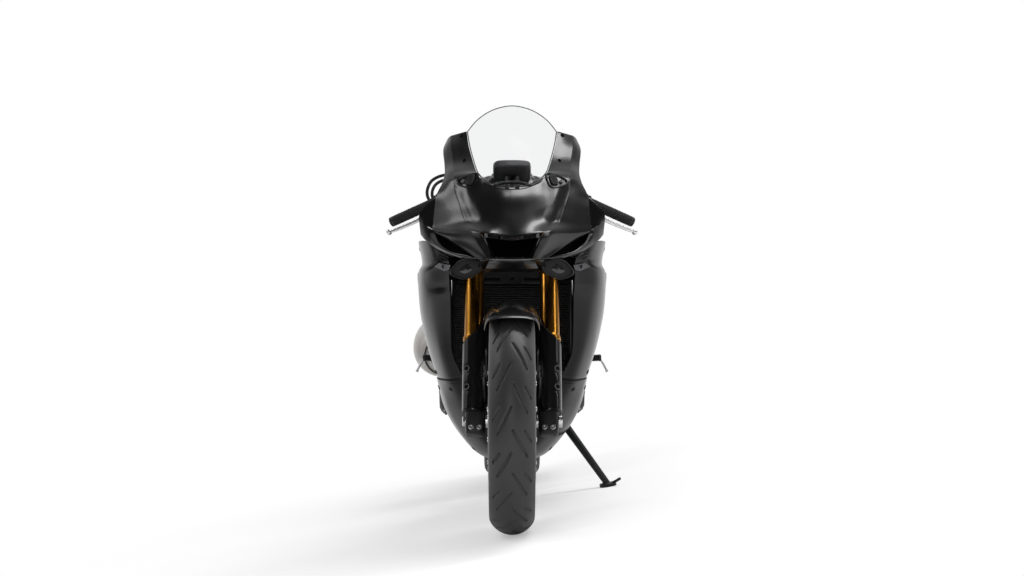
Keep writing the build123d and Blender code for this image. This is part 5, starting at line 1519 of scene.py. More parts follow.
# ---- tank, seats and tail ---------------------------------------------------------------------------
@dataclass
class Upper:
    """Fuel tank with its cap, the two seats and the tail."""

    cap_y: float = 492.0
    cap_z: float = 984.0
    ring_bolts: int = 8
    stitches: int = 21

    def tank(self) -> None:
        """Tank hull: the knee hollows draw the sides in by a bell in Y and Z, a spine bell lifts the middle, and
        the top is flat under the cap, by a clipped bell.
        """
        grid = hull(TANK, 2.6, 96, 10)
        x, y, z = grid[..., 0], grid[..., 1], grid[..., 2]
        knee = gauss(y - 680.0, 92.0) * gauss(z - 820.0, 62.0)
        x *= 1 - 0.16 * knee
        close = 1 - 0.22 * np.clip((y - 772.0) / 26.0, 0, 1) ** 3
        x *= close
        z += (790.0 - z) * (1 - close) * 0.8
        z += 4.0 * gauss(x, 34.0) * ramp(z, 880.0, 930.0) * ramp(y, 560.0, 640.0)
        z += 3.0 * gauss(np.abs(x) - 96.0, 16.0) * ramp(z, 900.0, 940.0)
        reach = np.hypot(x, y - self.cap_y)
        flat = gauss(reach, 62.0) ** 0.5 * (z > 960)
        z += (self.cap_z + 0.6 - z) * np.clip(flat * 1.3 - 0.25, 0, 1) * (reach < 74)
        Shape().solid(grid).build("fuel_tank", PAINT)
        centre = (0.0, self.cap_y, self.cap_z)
        ring = Shape().turned([(-4, 60), (1.2, 60), (2.4, 58.5), (2.4, 45), (1.0, 43.5), (1.0, 38.5), (-4, 38)],
                              centre, UP, 72)
        ring.build("filler_ring", CAST_BLACK)
        a = angles(self.ring_bolts, 0.5)
        spots = np.stack([51.5 * np.sin(a), self.cap_y + 51.5 * np.cos(a), np.full_like(a, self.cap_z + 2.6)], -1)
        Shape().bolts(spots, UP, 3.6, 2.6).build("filler_bolts", ZINC)
        cap = Shape().turned([(-15, 19), (1.2, 20), (1.2, 36), (8.2, 36), (9.8, 34), (9.8, 27), (9.0, 26), (9.0, 8),
                              (9.8, 7), (9.8, 1)], centre, UP, 64)
        cap.prism([(-8, 448, 988.2), (8, 448, 988.2), (9, 470, 988.2), (-9, 470, 988.2)], (0, 0, 4.8))
        cap.turned([(-8, 3.4), (-7, 4.2), (7, 4.2), (8, 3.4)], (0, 448, 992), ACROSS, 16)
        cap.build("fuel_cap", CAST_BLACK, Body.CAP, bevel=0.5)
        key = Shape().turned([(9.2, 9), (10.6, 9), (11.0, 8), (11.0, 1)], centre, UP, 28)
        key.prism([(-11, 506, 993.4), (11, 506, 993.4), (8, 516, 993.4), (-8, 516, 993.4)], (0, 0, 1.2))
        key.build("cap_lock", ZINC, Body.CAP)

    def pad(self, name: str, table: Array, crown: float, channels: tuple[float, ...]) -> None:
        """A seat pad: its hull with a bell on top, puffed as cloth, sewn, then piped and stitched.

        Args:
            name: the piece and the node it stands for.
            table: the pad's stations.
            crown: how far the middle of the start shape's top is raised.
            channels: where sewn channels cross the pad, in Y.
        """
        grid = hull(table, 3.0, 72, 10)
        lower = np.min(grid[..., 2], axis=1, keepdims=True)
        upper = np.max(grid[..., 2], axis=1, keepdims=True)
        height = (grid[..., 2] - lower) / (upper - lower)
        grid[..., 2] += crown * ramp(height, 0.5, 1.0) * gauss(grid[..., 0], 90.0)
        obj = Shape().solid(grid).build(name, VINYL)
        puff(obj, limit=0.005)
        pinch(obj, channels, grid)
        self.piping(name, grid, channels)

    def piping(self, name: str, grid: Array, channels: tuple[float, ...]) -> None:
        """A welt round the pad above its widest line, and a row of stitches on each side of a channel.

        Args:
            name: the pad's name.
            grid: its start shape.
            channels: where sewn channels cross it, in Y.
        """
        half, edge = grid.shape[1] // 2, 6
        left, right = grid[2:-2, edge], grid[2:-2, half - 1 - edge][::-1]
        path = np.concatenate([left, right, left[:1]]) + UP
        Shape().tube(path[::2], 1.8, 8).build(name + "_welt", VINYL)
        stitches = Shape()
        for where in channels:
            row = int(np.argmin(np.abs(grid[:, 0, 1] - where)))
            top = grid[row, 4:half - 4]
            steps = np.linspace(0, len(top) - 1.001, 2 * self.stitches)
            line = np.stack([np.interp(steps, np.arange(len(top)), top[:, k]) for k in range(3)], -1)
            for offset in (-4.5, 4.5):
                for a, b in zip(line[::2], line[1::2]):
                    stitches.tube(np.array([a, b]) + (0.0, offset, 2.0), 0.55, 6)
        if channels:
            stitches.build(name + "_stitches", THREAD)

    def tail(self) -> None:
        """Tail hull with a spine ridge and a side crease, its lamp, and the plate under it."""
        grid = hull(TAIL, 2.8, 72, 8)
        x, y, z = grid[..., 0], grid[..., 1], grid[..., 2]
        z -= 4.0 * gauss(np.abs(x) - 40.0, 20.0) * ramp(z, 880.0, 980.0) * ramp(y, 1400.0, 1520.0)
        x *= 1 - 0.08 * gauss(z - 900.0, 16.0) * ramp(y, 1180.0, 1300.0)
        Shape().solid(grid).build("tail_cowl", PAINT)
        lamp = ((1688, 25, 986, 998, 1009), (1694, 25, 986, 998, 1009), (1699, 22.5, 988, 998, 1007.5),
                (1702, 18, 991, 998, 1005))
        Shape().solid(hull(lamp, 3.4, 40, 4)).build("tail_lamp", RED)
        under = ((1060, 70, 730, 760, 792), (1200, 66, 770, 798, 820), (1340, 50, 826, 846, 862))
        Shape().solid(hull(under, 4.5, 48, 6)).build("undertray", MATT)

    def bases(self) -> None:
        """Moulded pans under both pads and between the tail and the plate under it, and the subframe's bolts."""
        pans = Shape()
        for table in (((1128, 70, 872, 896, 908), (1180, 84, 876, 898, 912), (1270, 78, 886, 908, 924),
                       (1350, 62, 912, 930, 944), (1388, 46, 930, 946, 958)),
                      ((1074, 58, 776, 792, 806), (1120, 60, 786, 806, 826), (1200, 58, 806, 826, 846),
                       (1320, 46, 846, 864, 884)),
                      ((812, 52, 784, 794, 806), (900, 82, 786, 796, 808), (1000, 96, 788, 800, 814),
                       (1090, 98, 794, 812, 834))):
            pans.solid(hull(table, 4.0, 48, 6))
        pans.build("seat_pans", MATT)
        bolts = Shape()
        for side in SIDES:
            for y, z, x in ((702, 590, 109.0), (730, 612, 109.0), (846, 486, 108.0), (1010, 676, 97.0),
                            (1060, 774, 84.0)):
                bolts.turned([(0, 7.5), (-5, 7.5), (-6, 6.4), (-6, 3.6), (-4, 3.2)], (side * x, y, z), side * ACROSS, 6)
        bolts.build("subframe_bolts", ZINC, sharp=30)

    def build(self) -> None:
        """Makes every piece of the upper body."""
        self.tank()
        self.bases()
        self.pad("rider_seat", SEAT, 3.0, (905.0, 1010.0))
        self.pad("pillion_seat", PILLION, 4.0, (1250.0,))
        self.tail()


def puff(obj: bpy.types.Object, limit: float, voxel: float = 0.006, frames: int = 16, pressure: float = 4.0) -> None:
    """Swells a pad as cloth under pressure with no gravity, and caps how far each point may move.

    Args:
        obj: the pad; its mesh is replaced.
        limit: the most that a point may move, in metres.
        voxel: size of the remeshed cells, in metres.
        frames: steps of the simulation.
        pressure: what swells it.
    """
    remesh = obj.modifiers.new("remesh", "REMESH")
    remesh.mode, remesh.voxel_size = "VOXEL", voxel
    apply_modifiers(obj)
    rest = coordinates(obj.data)
    cloth = obj.modifiers.new("cloth", "CLOTH")
    cloth.settings.use_pressure = True
    cloth.settings.uniform_pressure_force = pressure
    cloth.settings.effector_weights.gravity = 0.0
    cloth.settings.quality = 4
    for step in range(1, frames + 1):
        bpy.context.scene.frame_set(step)
    apply_modifiers(obj)
    bpy.context.scene.frame_set(1)
    moved = coordinates(obj.data) - rest
    length = np.linalg.norm(moved, axis=1, keepdims=True)
    rest += moved * np.minimum(1.0, limit / np.maximum(length, 1e-9))
    obj.data.vertices.foreach_set("co", rest.astype(np.float32).ravel())
    sub = obj.modifiers.new("smooth", "SUBSURF")
    sub.levels = sub.render_levels = 1
    apply_modifiers(obj)
    obj.data.polygons.foreach_set("use_smooth", np.ones(len(obj.data.polygons), bool))


def coordinates(mesh: bpy.types.Mesh) -> Array:
    """The mesh's points, one row each, in metres."""
    co = np.empty(len(mesh.vertices) * 3, np.float32)
    mesh.vertices.foreach_get("co", co)
    return co.reshape(-1, 3).astype(float)


def apply_modifiers(obj: bpy.types.Object) -> None:
    """Replaces the object's mesh by what its modifiers make of it."""
    depsgraph = bpy.context.evaluated_depsgraph_get()
    mesh = bpy.data.meshes.new_from_object(obj.evaluated_get(depsgraph))
    old, obj.data = obj.data, mesh
    obj.modifiers.clear()
    bpy.data.meshes.remove(old)


def pinch(obj: bpy.types.Object, channels: tuple[float, ...], grid: Array) -> None:
    """Sews channels into the pad: points near each line sink by a bell across it, on the upper side only.

    Args:
        obj: the pad.
        channels: where the channels cross it, in Y.
        grid: its start shape.
    """
    co = coordinates(obj.data) * MM - BIKE.shift
    upright = co @ BIKE.turn
    middle = np.interp(upright[:, 1], grid[:, 0, 1], grid.mean(1)[:, 2])
    above = ramp(upright[:, 2] - middle, 0.0, 8.0)
    for where in channels:
        upright[:, 2] -= 3.4 * gauss(upright[:, 1] - where, 5.0) * above
    obj.data.vertices.foreach_set("co", BIKE.place(upright).astype(np.float32).ravel())
    obj.data.update()


# ---- chassis and drive ------------------------------------------------------------------------------
@dataclass
class Engine:
    """What shows of the engine: its covers, radiator, headers and silencer."""

    cover_y: float = 668.0
    cover_z: float = 356.0
    cover_bolts: int = 9

    def covers(self) -> None:
        """Side covers as turned shells with a ribbed face and a ring of bolts."""
        covers, bolts, caps = Shape(), Shape(), Shape()
        for side, radius in ((1.0, 72.0), (-1.0, 78.0)):
            centre, axis = (side * 120.0, self.cover_y, self.cover_z), side * ACROSS
            covers.turned([(0, radius), (70, radius), (76, radius + 5), (80, radius + 5), (84, radius),
                           (92, radius - 6), (95.5, radius - 16), (94.0, radius - 20), (94.0, radius - 34),
                           (96, radius - 37), (96, 1)], centre, axis, 72)
            a = angles(self.cover_bolts, 0.3)
            spots = np.stack([np.full_like(a, side * 199.0), self.cover_y + (radius - 1) * np.sin(a),
                              self.cover_z + (radius - 1) * np.cos(a)], -1)
            bolts.bolts(spots, axis, 5.0, 5.0)
            caps.turned([(95, 22), (97.5, 22), (98.5, 20), (98.5, 14), (97, 13), (97, 1)], centre, axis, 40)
            for k in range(5):
                y, more = self.cover_y + 18.0 * (k - 2), 4 * abs(k - 2)
                covers.rod((side * 212.0, y, 330 - more), (side * 212.0, y, 382 + more), 2.6, 10)
        covers.build("engine_side_covers", ENGINE)
        bolts.build("engine_cover_bolts", ZINC)
        caps.build("engine_cover_caps", CAST_BLACK)

    def radiator(self) -> None:
        """Core of flat tubes with a waved fin ribbon between each two, side tanks, and a header tank and a lower tank.
        """
        at = tilted((0.0, 356.0, 552.0), -6)
        tubes, fins, tanks = Shape(), Shape(), Shape()
        outline = oval(3.0, 10) * (11.0, 1.0)
        pitch = 6.3
        heights = np.arange(-114.0, 115.0, pitch)
        for z in heights:
            tubes.solid(at(sections(0, outline, (0, z), ((-165, 1), (165, 1)))))
        x = np.linspace(-164, 164, 329)
        for z in heights[:-1] + pitch / 2:
            wave = z + (pitch / 2 - 0.9) * np.where(np.arange(len(x)) % 2, 1.0, -1.0)
            fins.grid(at(np.stack([np.stack([x, np.full_like(x, y), wave], -1) for y in (-9.0, 9.0)])))
        unit = oval(6.0, 24)
        for x in (-167.0, 167.0):
            tanks.solid(at(sections(2, unit * (4.0, 17.0), (x, 0.0), ((-124, 0.8), (-120, 1), (120, 1), (124, 0.8)))))
        for z in (122.0, -122.0):
            tanks.solid(at(sections(0, unit * (17.0, 10.0), (0.0, z), ((-171, 0.8), (-166, 1), (166, 1), (171, 0.8)))))
        # a near-black sheet behind the core: painted shade where the space behind would lie in shadow, so that no
        # background shows through the fins
        across = (-170.0, -120.0, 0.0, 120.0, 170.0)
        shroud = Shape().grid(at([[(x, 16.0 + 0.05 * abs(x) * (abs(x) > 100), z) for x in across]
                                  for z in (-130.0, 0.0, 130.0)])[:, ::-1])
        shroud.build("radiator_shroud", NEAR_BLACK_AND_SHADE, wall=1.5)
        tubes.build("radiator", FIN)
        fins.build("radiator_fins", FIN, wall=0.2)
        tanks.build("radiator_tanks", CAST_BLACK, bevel=0.5)

    def ducts(self) -> None:
        """Near-black inner walls from each fairing's front edge back to the radiator, and a flap above it: their black
        is painted shade for the shadowed inside.
        """
        front = np.array([(206, 176, 766), (178, 156, 735), (174, 164, 704), (172, 204, 622), (172, 244, 528),
                          (168, 282, 466), (142, 338, 402)], float)
        back = np.array([(212, 334, 772), (196, 336, 740), (176, 338, 704), (172, 340, 622), (172, 344, 528),
                         (170, 352, 466), (142, 362, 404)], float)
        walls = Shape().both(Shape().grid(smooth(np.stack([front, (front + back) / 2 + (3.0, 0.0, 0.0), back], 1), 4)))
        flap = np.array([[(x, 334.0 + 0.02 * abs(x), z) for x in (-212, -120, -40, 40, 120, 212)]
                         for z in (786, 740, 700, 676)], float)
        walls.grid(smooth(flap, 4))
        walls.build("radiator_ducts", NEAR_BLACK_AND_SHADE, wall=1.6)

    def silencer(self) -> None:
        """Short silencer: leaning ovals from its cap to its outlet, a rolled end ring and two bands, with the link pipe
        and its clamp.
        """
        table = curve([(1002, -214, 424, 32, 38), (1010, -220, 428, 46, 50), (1032, -238, 440, 63, 68),
                       (1090, -246, 450, 71, 80), (1190, -248, 468, 68, 76), (1222, -247, 476, 59, 66),
                       (1236, -246, 480, 52, 58)], 6)
        a = angles(56)

        def rings(rows: Array, grow: float = 0.0) -> Array:
            """Ovals that lean inwards at the top: a sine of the angle shifts and narrows each.

            Args:
                rows: y, middle x and z, half-width and half-height of each.
                grow: how much is added to both halves.

            Returns:
                The rings.
            """
            y, cx, cz, hw, hh = (rows[:, k:k + 1] for k in range(5))
            hw, hh = hw + grow, hh + grow
            x = cx + hw * np.cos(a) * (1.0 - 0.20 * np.sin(a)) - 0.28 * hh * np.sin(a)
            return np.stack([x, np.broadcast_to(y, x.shape), cz + hh * np.sin(a)], -1)

        Shape().solid(rings(table)).build("exhaust_silencer", TITAN)
        bands = Shape()
        for index, width in ((8, 5.0), (30, 6.0)):
            row = np.repeat(table[index:index + 1], 4, 0)
            row[:, 0] += (-width, -width, width, width)
            bands.grid(np.concatenate([rings(row[1:3], 2.2), rings(row[2:3], -1.0), rings(row[1:2], -1.0)]), torus=True)
        bands.build("silencer_bands", CAST_BLACK)
        outlet = Shape().turned([(-24, 22), (7, 22), (9.5, 24.5), (9.5, 27), (6, 29), (2, 29), (-6, 26), (-24, 25)],
                                (-258, 1234, 486), BACK, 44, ring=True)
        outlet.build("silencer_outlet", CAST_BLACK)
        link = curve([(-52, 780, 192), (-52, 820, 192), (-82, 868, 202), (-132, 906, 226), (-172, 940, 272),
                      (-200, 972, 340), (-212, 994, 402), (-216, 1010, 428)], 8)
        Shape().tube(link, 25.0, 28).build("link_pipe", HEAT)
        clamp = Shape().turned([(-9, 25.5), (-9, 27.6), (9, 27.6), (9, 25.5)], (-52, 808, 192), BACK, 36, ring=True)
        clamp.rod((-30, 808, 214), (-30, 808, 196), 3.0, 10)
        clamp.build("link_clamp", STEEL)

    def headers(self) -> None:
        """Four header pipes down the front of the engine into a collector box with rounded ends."""
        pipes, flanges = Shape(), Shape()
        for x in (-92.0, -32.0, 32.0, 92.0):
            inner = 0.42 * x
            route = [(x, 434, 496), (x, 404, 480), (x, 397, 440), (0.8 * x, 400, 380), (inner, 420, 300),
                     (inner, 462, 246), (inner, 520, 206), (inner, 620, 192)]
            pipes.tube(curve(route, 7), 19.0, 20)
            flanges.turned([(-4, 19), (-4, 27), (6, 27), (7, 25), (7, 19)], (x, 428, 493), (0, -0.82, -0.57),
                           28, ring=True)
        pipes.solid(sections(1, oval(5.0, 36) * (80, 31), (0, 191),
                             ((596, 0.72), (606, 0.93), (622, 1.0), (770, 1.0), (784, 0.93), (791, 0.72))))
        pipes.build("exhaust_headers", HEAT)
        flanges.build("header_flanges", STEEL)

    def build(self) -> None:
        """Makes every piece around the engine."""
        self.covers()
        self.radiator()
        self.ducts()
        self.silencer()
        self.headers()


@dataclass
class Drive:
    """Chain, shock, guard, rear caliper, footrests and side stand."""

    # middle and pitch radius of each sprocket
    front: tuple[float, float, float] = (775.0, 402.0, 40.7)
    rear: tuple[float, float, float] = (*REAR_AXLE[1:], SPROCKET_R)
    links: int = 112
    coils: float = 7.5
    lean: float = math.radians(10.0)

    def chain_path(self) -> tuple[Array, Array]:
        """Pin places round both sprockets: two straight runs and two arcs, divided evenly by length.

        Returns:
            Each pin's Y and Z, and its step to the next.
        """
        (ay, az, ar), (by, bz, br) = self.front, self.rear
        run, tilt = math.hypot(by - ay, bz - az), math.atan2(bz - az, by - ay)
        spread = math.acos((ar - br) / run)
        corners = []
        for cy, cz, r, a0, a1 in ((by, bz, br, spread, -spread), (ay, az, ar, -spread, spread - 2 * math.pi)):
            angle = tilt + np.linspace(a0, a1, 200)
            corners.append(np.stack([cy + r * np.cos(angle), cz + r * np.sin(angle)], -1))
        loop = np.concatenate([*corners, corners[0][:1]])
        reach = np.append(0.0, np.cumsum(np.linalg.norm(np.diff(loop, axis=0), axis=1)))
        at = np.linspace(0, reach[-1], self.links, endpoint=False)
        points = np.stack([np.interp(at, reach, loop[:, k]) for k in range(2)], -1)
        return points, np.roll(points, -1, 0) - points

    def chain(self) -> None:
        """Every link: two waisted plates, inner and outer by turns, and a pin with its roller."""
        points, step = self.chain_path()
        plates, pins = Shape(), Shape()
        waist = np.array([(-0.46, 0.0), (-0.32, 0.42), (0.0, 0.50), (0.5, 0.30), (1.0, 0.50), (1.32, 0.42), (1.46, 0.0),
                          (1.32, -0.42), (1.0, -0.50), (0.5, -0.30), (0.0, -0.50), (-0.32, -0.42)])
        for k, (p, d) in enumerate(zip(points, step)):
            side = np.array([-d[1], d[0]]) * 0.95
            outline = p + waist[:, :1] * d + waist[:, 1:] * side
            for sign in SIDES:
                x = CHAIN_X + sign * (5.4 if k % 2 else 7.2)
                plates.prism(np.concatenate([np.full((12, 1), x), outline], 1), (sign * 1.6, 0, 0))
            pins.turned([(-9, 2.4), (-5, 2.6), (-4.6, 5.0), (4.6, 5.0), (5, 2.6), (9, 2.4)], (CHAIN_X, *p), ACROSS, 8)
        plates.build("drive_chain", CHAIN)
        pins.build("chain_pins", STEEL)

    def shock(self) -> None:
        """Spring as a helix about the damper: the middle plus the radius times cosine and sine of the turn."""
        top, low = np.array((0.0, 838.0, 668.0)), np.array((0.0, 932.0, 442.0))
        axis, u, v = basis(low - top)
        length = float(np.linalg.norm(low - top))
        t = np.linspace(0, 1, 260)
        angle = (2 * math.pi * self.coils * t)[:, None]
        path = top + (30 + 150 * t)[:, None] * axis + 30.0 * (np.cos(angle) * u + np.sin(angle) * v)
        Shape().tube(path, 5.2, 10).build("shock_spring", SPRING)
        profile = [(12, 8), (12, 18), (20, 36), (26, 37), (27, 22), (80, 22), (82, 9), (150, 9), (150, 16), (180, 17),
                   (181, 36.5), (187, 36.5), (190, 18), (length - 14, 17), (length - 12, 8)]
        body = Shape().turned(profile, top, axis, 36)
        for point, half, radius in ((top, 24, 16), (low, 14, 14)):
            body.turned([(-half, radius - 2), (-half + 2, radius), (half - 2, radius), (half, radius - 2)], point,
                        ACROSS, 32)
        body.build("shock_absorber", CAST_BLACK)
        bottle = Shape().turned([(0, 10), (2, 19), (8, 21), (70, 21), (74, 19), (76, 10)], (52, 812, 640),
                                (0.0, 0.35, -0.94), 36)
        bottle.tube(curve([(52, 816, 640), (40, 818, 652), (22, 826, 656), (10, 838, 650)], 6), 4.5, 10)
        bottle.build("shock_reservoir", GOLD)

    def guard(self) -> None:
        """Chain guard: an arched strip over the upper run."""
        x = CHAIN_X + 8.0
        rows = [[(x - half - 1, y, z - 7), (x - half, y, z + 1), (x, y, z + 3), (x + half, y, z + 1),
                 (x + half + 1, y, z - 12)] for y, z, half in ((905, 458, 12), (980, 466, 14), (1060, 470, 14),
                                                               (1160, 468, 13), (1240, 462, 13), (1330, 454, 13))]
        Shape().grid(smooth(rows, 6, 4)[::-1]).build("chain_guard", MATT, wall=2.4, bevel=0.5)

    def sprocket_cover(self) -> None:
        """Front sprocket cover with its output boss."""
        y, z, r = self.front
        centre = (CHAIN_X, y, z)
        shape = Shape().turned([(-13, 11), (11, 12), (11, 50), (14.5, 50), (16, 47.5), (16, 1)], centre, ACROSS, 56)
        shape.turned([(-4, 12), (-4, r - 9), (4, r - 9), (4, 12)], centre, ACROSS, 48, ring=True)
        shape.build("front_sprocket", CAST_BLACK)

    def rear_caliper(self) -> None:
        """Rear caliper: two rounded halves over the disc on a hanger, with a piston cover."""
        at = tilted(REAR_AXLE, 38)
        body, cover, unit = Shape(), Shape(), oval(4.5, 28)
        for x in (-96.5, -67.5):
            body.solid(at(sections(1, unit * (8.5, 22.0), (x, 104), ((-42, 0.78), (-39, 0.95), (-30, 1.0), (30, 1.0),
                                                                     (39, 0.95), (42, 0.78)))))
        for y in (-30.0, 30.0):
            body.solid(at(sections(0, unit * (8, 4), (y, 121.5), ((-92, 1), (-72, 1)))))
        body.prism(at([(-104, -15, 60), (-104, 15, 60), (-104, 15, 100), (-104, -15, 100)]), (6, 0, 0))
        body.turned([(-104.5, 12.7), (-104.5, 26), (-97.5, 26), (-97.5, 12.7)], REAR_AXLE, ACROSS, 40, ring=True)
        body.prism(at([(-104.5, -12, 20), (-104.5, 12, 20), (-104.5, 14, 64), (-104.5, -14, 64)]), (7, 0, 0))
        cover.turned([(-2, 14), (2, 14), (3, 12.5), (3, 8), (1.5, 7)], at((-105, 0, 104)), -ACROSS, 28)
        body.build("rear_caliper", CAST_BLACK, bevel=0.6)
        cover.build("rear_piston_cover", ALLOY)

    def footrests(self) -> None:
        """Heel plates, knurled pegs with bright feelers, and the gear and brake pedals."""
        outline = curve([(882, 452), (890, 476), (912, 478), (944, 462), (968, 446), (984, 424), (982, 404), (960, 393),
                         (924, 402), (888, 424)], 4, closed=True)
        for side, name, pedal_y in ((1.0, "footrest_left", 800.0), (-1.0, "footrest_right", 812.0)):
            plate, pegs, bright = Shape(), Shape(), Shape()
            plate.prism(np.insert(outline, 0, side * 156.0, 1), (side * 8.0, 0, 0))
            plate.rod((side * 153.4, 868, 452), (side * 160, 894, 446), 8.0, 20)
            profile = [(0, 8), (2, 11), (6, 11)] + [(6 + 2.9 * k + d, 10.6 + h) for k in range(38)
                                                  for d, h in ((0.0, -1.0), (1.2, 0.4))] + [(119, 11), (121.5, 9)]
            pegs.turned(profile, (side * 160, 956, 430), (side * 122, 10, 4), 22)
            bright.tube(curve([(side * 272, 966, 434), (side * 282, 967, 424), (side * 292, 968, 408),
                               (side * 299, 968, 394)], 5), 3.4, 12)
            bright.turned([(-3, 1), (-3, 4.6), (3, 4.6), (3, 1)], (side * 299.4, 968, 392.5),
                          (side * 0.55, 0.05, -0.83), 14)
            bright.turned([(0, 9), (12, 9), (12, 6)], (side * 164, 905, 430), side * ACROSS, 24)
            arm = curve([(side * 173, 905, 430), (side * 174, 872, 424), (side * 173, 836, 414),
                         (side * 173, pedal_y, 410)], 6)
            bright.tube(arm, 6.0, 14, 0.7)
            pegs.turned([(0, 6), (2, 7.5), (40, 7.5), (48, 7.5), (50, 6)], (side * 172, pedal_y, 410),
                        side * ACROSS, 20)
            plate.build(name, CAST_BLACK, bevel=1.0)
            pegs.build(name + "_pegs", CAST_BLACK)
            bright.build(name + "_levers", ALLOY)

    def stand(self) -> None:
        """Side stand: a tapered leg from its hinge barrel to a flat foot on the ground, with a tang."""
        lean = self.lean
        pivot = np.array((142.0, 800.0, 262.0))
        foot_z = 292.0 * math.tan(lean) + (6.0 - 0.98) / math.cos(lean)
        foot = np.array((292.0, 742.0, foot_z))
        axis = np.cross(foot - pivot, (0.02, 0.99, 0.10))
        axis /= np.linalg.norm(axis)
        t = np.linspace(0, 1, 18)[:, None]
        leg = Shape().tube(pivot + t * (foot - pivot), 13.0 - 3.0 * t[:, 0], 22)
        leg.turned([(-13, 6.1), (-13, 15.5), (-11, 17), (11, 17), (13, 15.5), (13, 6.1)], pivot, axis, 36, ring=True)
        down = np.array([-math.sin(lean), 0.0, math.cos(lean)])
        leg.turned([(-6, 23), (-5, 26), (4, 26), (6, 22.5), (6, 1)], foot, down, 36)
        leg.tube(curve([foot + (8, -6, 3), foot + (22, -22, 12), foot + (34, -42, 22)], 5), 4.4, 12)
        leg.build("side_stand", CAST_BLACK, Body.STAND, bevel=0.4)

    def build(self) -> None:
        """Makes every drive piece."""
        self.chain()
        self.shock()
        self.guard()
        self.sprocket_cover()
        self.rear_caliper()
        self.footrests()
        self.stand()


def dress_cad() -> None:
    """Gives each frame node that still shows its own finish."""
    finishes = {"main_frame": CAST_BLACK, "subframe": CAST_BLACK, "swingarm": CAST_BLACK, "stand_bracket": CAST_BLACK,
                "engine_block": ENGINE, "pivot_shaft": STEEL, "rear_axle": ZINC, "front_axle": ZINC,
                "axle_spacers": ALLOY, "lower_clamp_and_stem": CAST_BLACK, "upper_clamp": CAST_BLACK,
                "handlebars": CAST_BLACK}
    for name, node in frame["nodes"].items():
        if node.hide_render:
            continue
        finish = finishes.get(name, MATT)
        node.data.materials.clear()
        node.data.materials.append(finish.material())
        log.info("frame node %s: %s", name, finish.name)


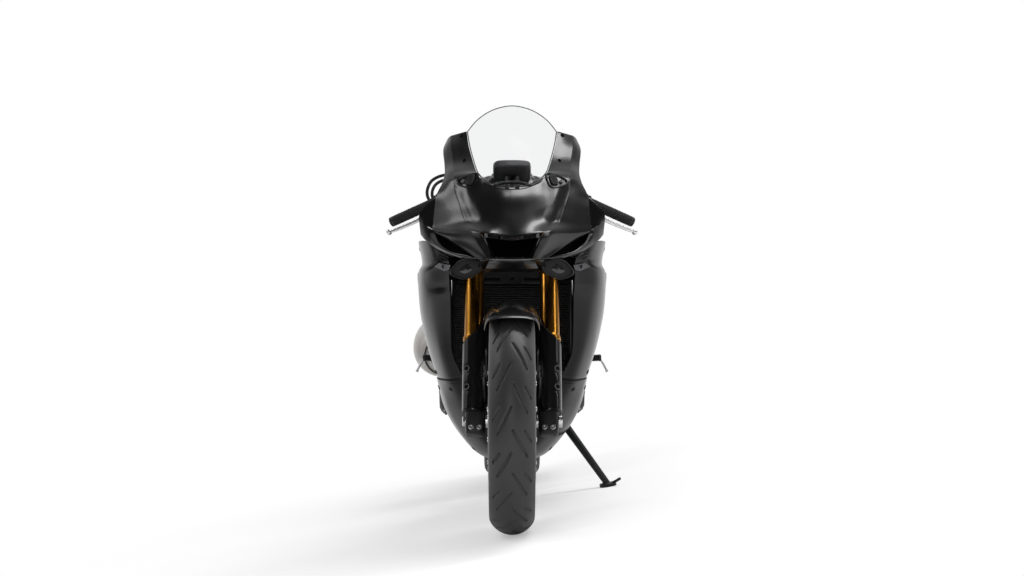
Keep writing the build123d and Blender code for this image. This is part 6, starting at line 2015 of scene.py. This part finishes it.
# ---- studio -----------------------------------------------------------------------------------------
@dataclass
class Studio:
    """Pale floor, soft light and the camera."""

    distance: float = 5130.0
    height: float = 654.0
    focal_px: float = 1930.0
    width_px: float = 1024.0
    sensor: float = 36.0
    # the world's level as light, and what gloss sees of it between two steps of the direction's Y
    sky: float = 0.48
    gloss: tuple[float, float, float, float] = (0.05, 0.95, 0.05, 1.0)
    # the floor's colour, what the camera sees on top of its light, and where it has faded to plain white
    floor_tone: float = 0.78
    lift: float = 0.36
    fade: tuple[float, float] = (0.85, 1.9)
    # name, place, target, width and height, watts
    lamps: tuple = (("overhead_right", (-1.9, -0.2, 3.1), (-0.2, -0.2, 0.6), (0.5, 1.0), 7.0),
                    ("overhead_left", (1.35, -0.2, 3.1), (0.2, -0.2, 0.6), (0.6, 2.1), 44.0),
                    ("high_right", (-2.6, -0.6, 2.6), (0.0, -0.5, 0.75), (1.6, 2.4), 9.0),
                    ("slim_left", (2.9, -0.9, 1.9), (0.0, -0.4, 0.75), (0.4, 2.2), 12.0),
                    ("slim_front", (-0.35, -5.9, 2.1), (0.0, -0.6, 0.7), (0.3, 2.0), 26.0))

    def camera(self) -> None:
        """Level camera square to the front wheel in the bike's upright frame, leaning with the bike."""
        data = bpy.data.cameras.new("front_camera")
        data.lens = self.sensor * self.focal_px / self.width_px
        data.sensor_width, data.clip_end = self.sensor, 60.0
        cam = bpy.data.objects.new("front_camera", data)
        right, ahead, up = BIKE.turn.T
        at = BIKE.place(np.array([0.0, -self.distance, self.height]))
        cam.matrix_world = Matrix([[right[k], up[k], -ahead[k], at[k]] for k in range(3)] + [[0, 0, 0, 1]])
        bpy.context.scene.collection.objects.link(cam)
        bpy.context.scene.camera = cam

    def floor(self) -> None:
        """Round floor whose paint fades to plain white away from the machine, so that no horizon shows."""
        disc = Shape().grid(turned([(0.0, 0.01), (0.0, 4000.0), (0.0, 9000.0)], (0, 0, 0), UP, 96), around=True)
        mesh = bpy.data.meshes.new("floor")
        mesh.from_pydata((disc.points[0] / MM).tolist(), [], [face[::-1] for face in disc.faces])
        floor = bpy.data.objects.new("floor", mesh)
        bpy.context.scene.collection.objects.link(floor)
        mat = bpy.data.materials.new("floor_paint")
        nodes = Nodes(mat)
        shader = nodes["Principled BSDF"]
        coord, length, fade, path, seen, glow, lifted, add, mix = (nodes.add(kind)
                                                                   for kind in ("TexCoord", "VectorMath", "MapRange",
                                                                                "LightPath", "Math", "Emission",
                                                                                "Emission", "AddShader", "MixShader"))
        length.operation, seen.operation, fade.interpolation_type = "LENGTH", "MULTIPLY", "SMOOTHSTEP"
        put(shader, Base_Color=(self.floor_tone,) * 3 + (1.0,), Roughness=0.9, Specular_IOR_Level=0.0)
        put(fade, From_Min=self.fade[0], From_Max=self.fade[1])
        seen.inputs[1].default_value = self.lift
        for source, output, target, socket in (
                (path, "Is Camera Ray", seen, 0), (seen, "Value", lifted, "Strength"), (shader, "BSDF", add, 0),
                (lifted, "Emission", add, 1), (coord, "Object", length, 0), (length, "Value", fade, "Value"),
                (fade, "Result", mix, "Fac"), (add, "Shader", mix, 1), (glow, "Emission", mix, 2),
                (mix, "Shader", nodes["Material Output"], "Surface")):
            nodes.link(source, output, target, socket)
        mesh.materials.append(mat)

    def world(self) -> None:
        """White to the camera and through glass; dimmer as light, and to gloss darker towards the front."""
        world = bpy.data.worlds.new("studio")
        bpy.context.scene.world = world
        nodes = Nodes(world)
        path, coord, axis, gloss = (nodes.add(kind) for kind in ("LightPath", "TexCoord", "SeparateXYZ", "MapRange"))
        gloss.interpolation_type = "SMOOTHSTEP"
        put(gloss, **dict(zip(("From_Min", "From_Max", "To_Min", "To_Max"), self.gloss)))
        nodes.link(coord, "Generated", axis, "Vector")
        nodes.link(axis, "Y", gloss, "Value")
        level = gloss
        for output, value in (("Is Diffuse Ray", self.sky), ("Is Transmission Ray", 1.0), ("Is Camera Ray", 1.0)):
            mix = nodes.add("Mix")
            put(mix, B=value)
            nodes.link(path, output, mix, "Factor")
            nodes.link(level, "Result", mix, "A")
            level = mix
        put(nodes["Background"], Color=(1.0, 1.0, 1.0, 1.0))
        nodes.link(level, "Result", nodes["Background"], "Strength")

    def lights(self) -> None:
        """Soft oblong lamps, each turned to its target: two overhead, one high, and a slim one left and in front."""
        for name, spot, target, size, power in self.lamps:
            lamp = bpy.data.lights.new(name, "AREA")
            lamp.shape, lamp.size, lamp.size_y, lamp.energy = "RECTANGLE", size[0], size[1], power
            obj = bpy.data.objects.new(name, lamp)
            bpy.context.scene.collection.objects.link(obj)
            obj.location = spot
            obj.rotation_euler = (Vector(target) - Vector(spot)).to_track_quat("-Z", "Y").to_euler()

    def build(self) -> None:
        """Makes the studio."""
        self.camera()
        self.floor()
        self.world()
        self.lights()
        bpy.context.scene.view_settings.view_transform = "Standard"


def main() -> None:
    """Builds the studio and every sub-assembly in order."""
    logging.basicConfig(level=logging.INFO, format="%(name)s: %(message)s")
    for part in (Studio(), Wheels(), FrontEnd(), Cowl(), Fairings(), Upper(), Engine(), Drive()):
        part.build()
    dress_cad()


if __name__ == "__main__":
    main()
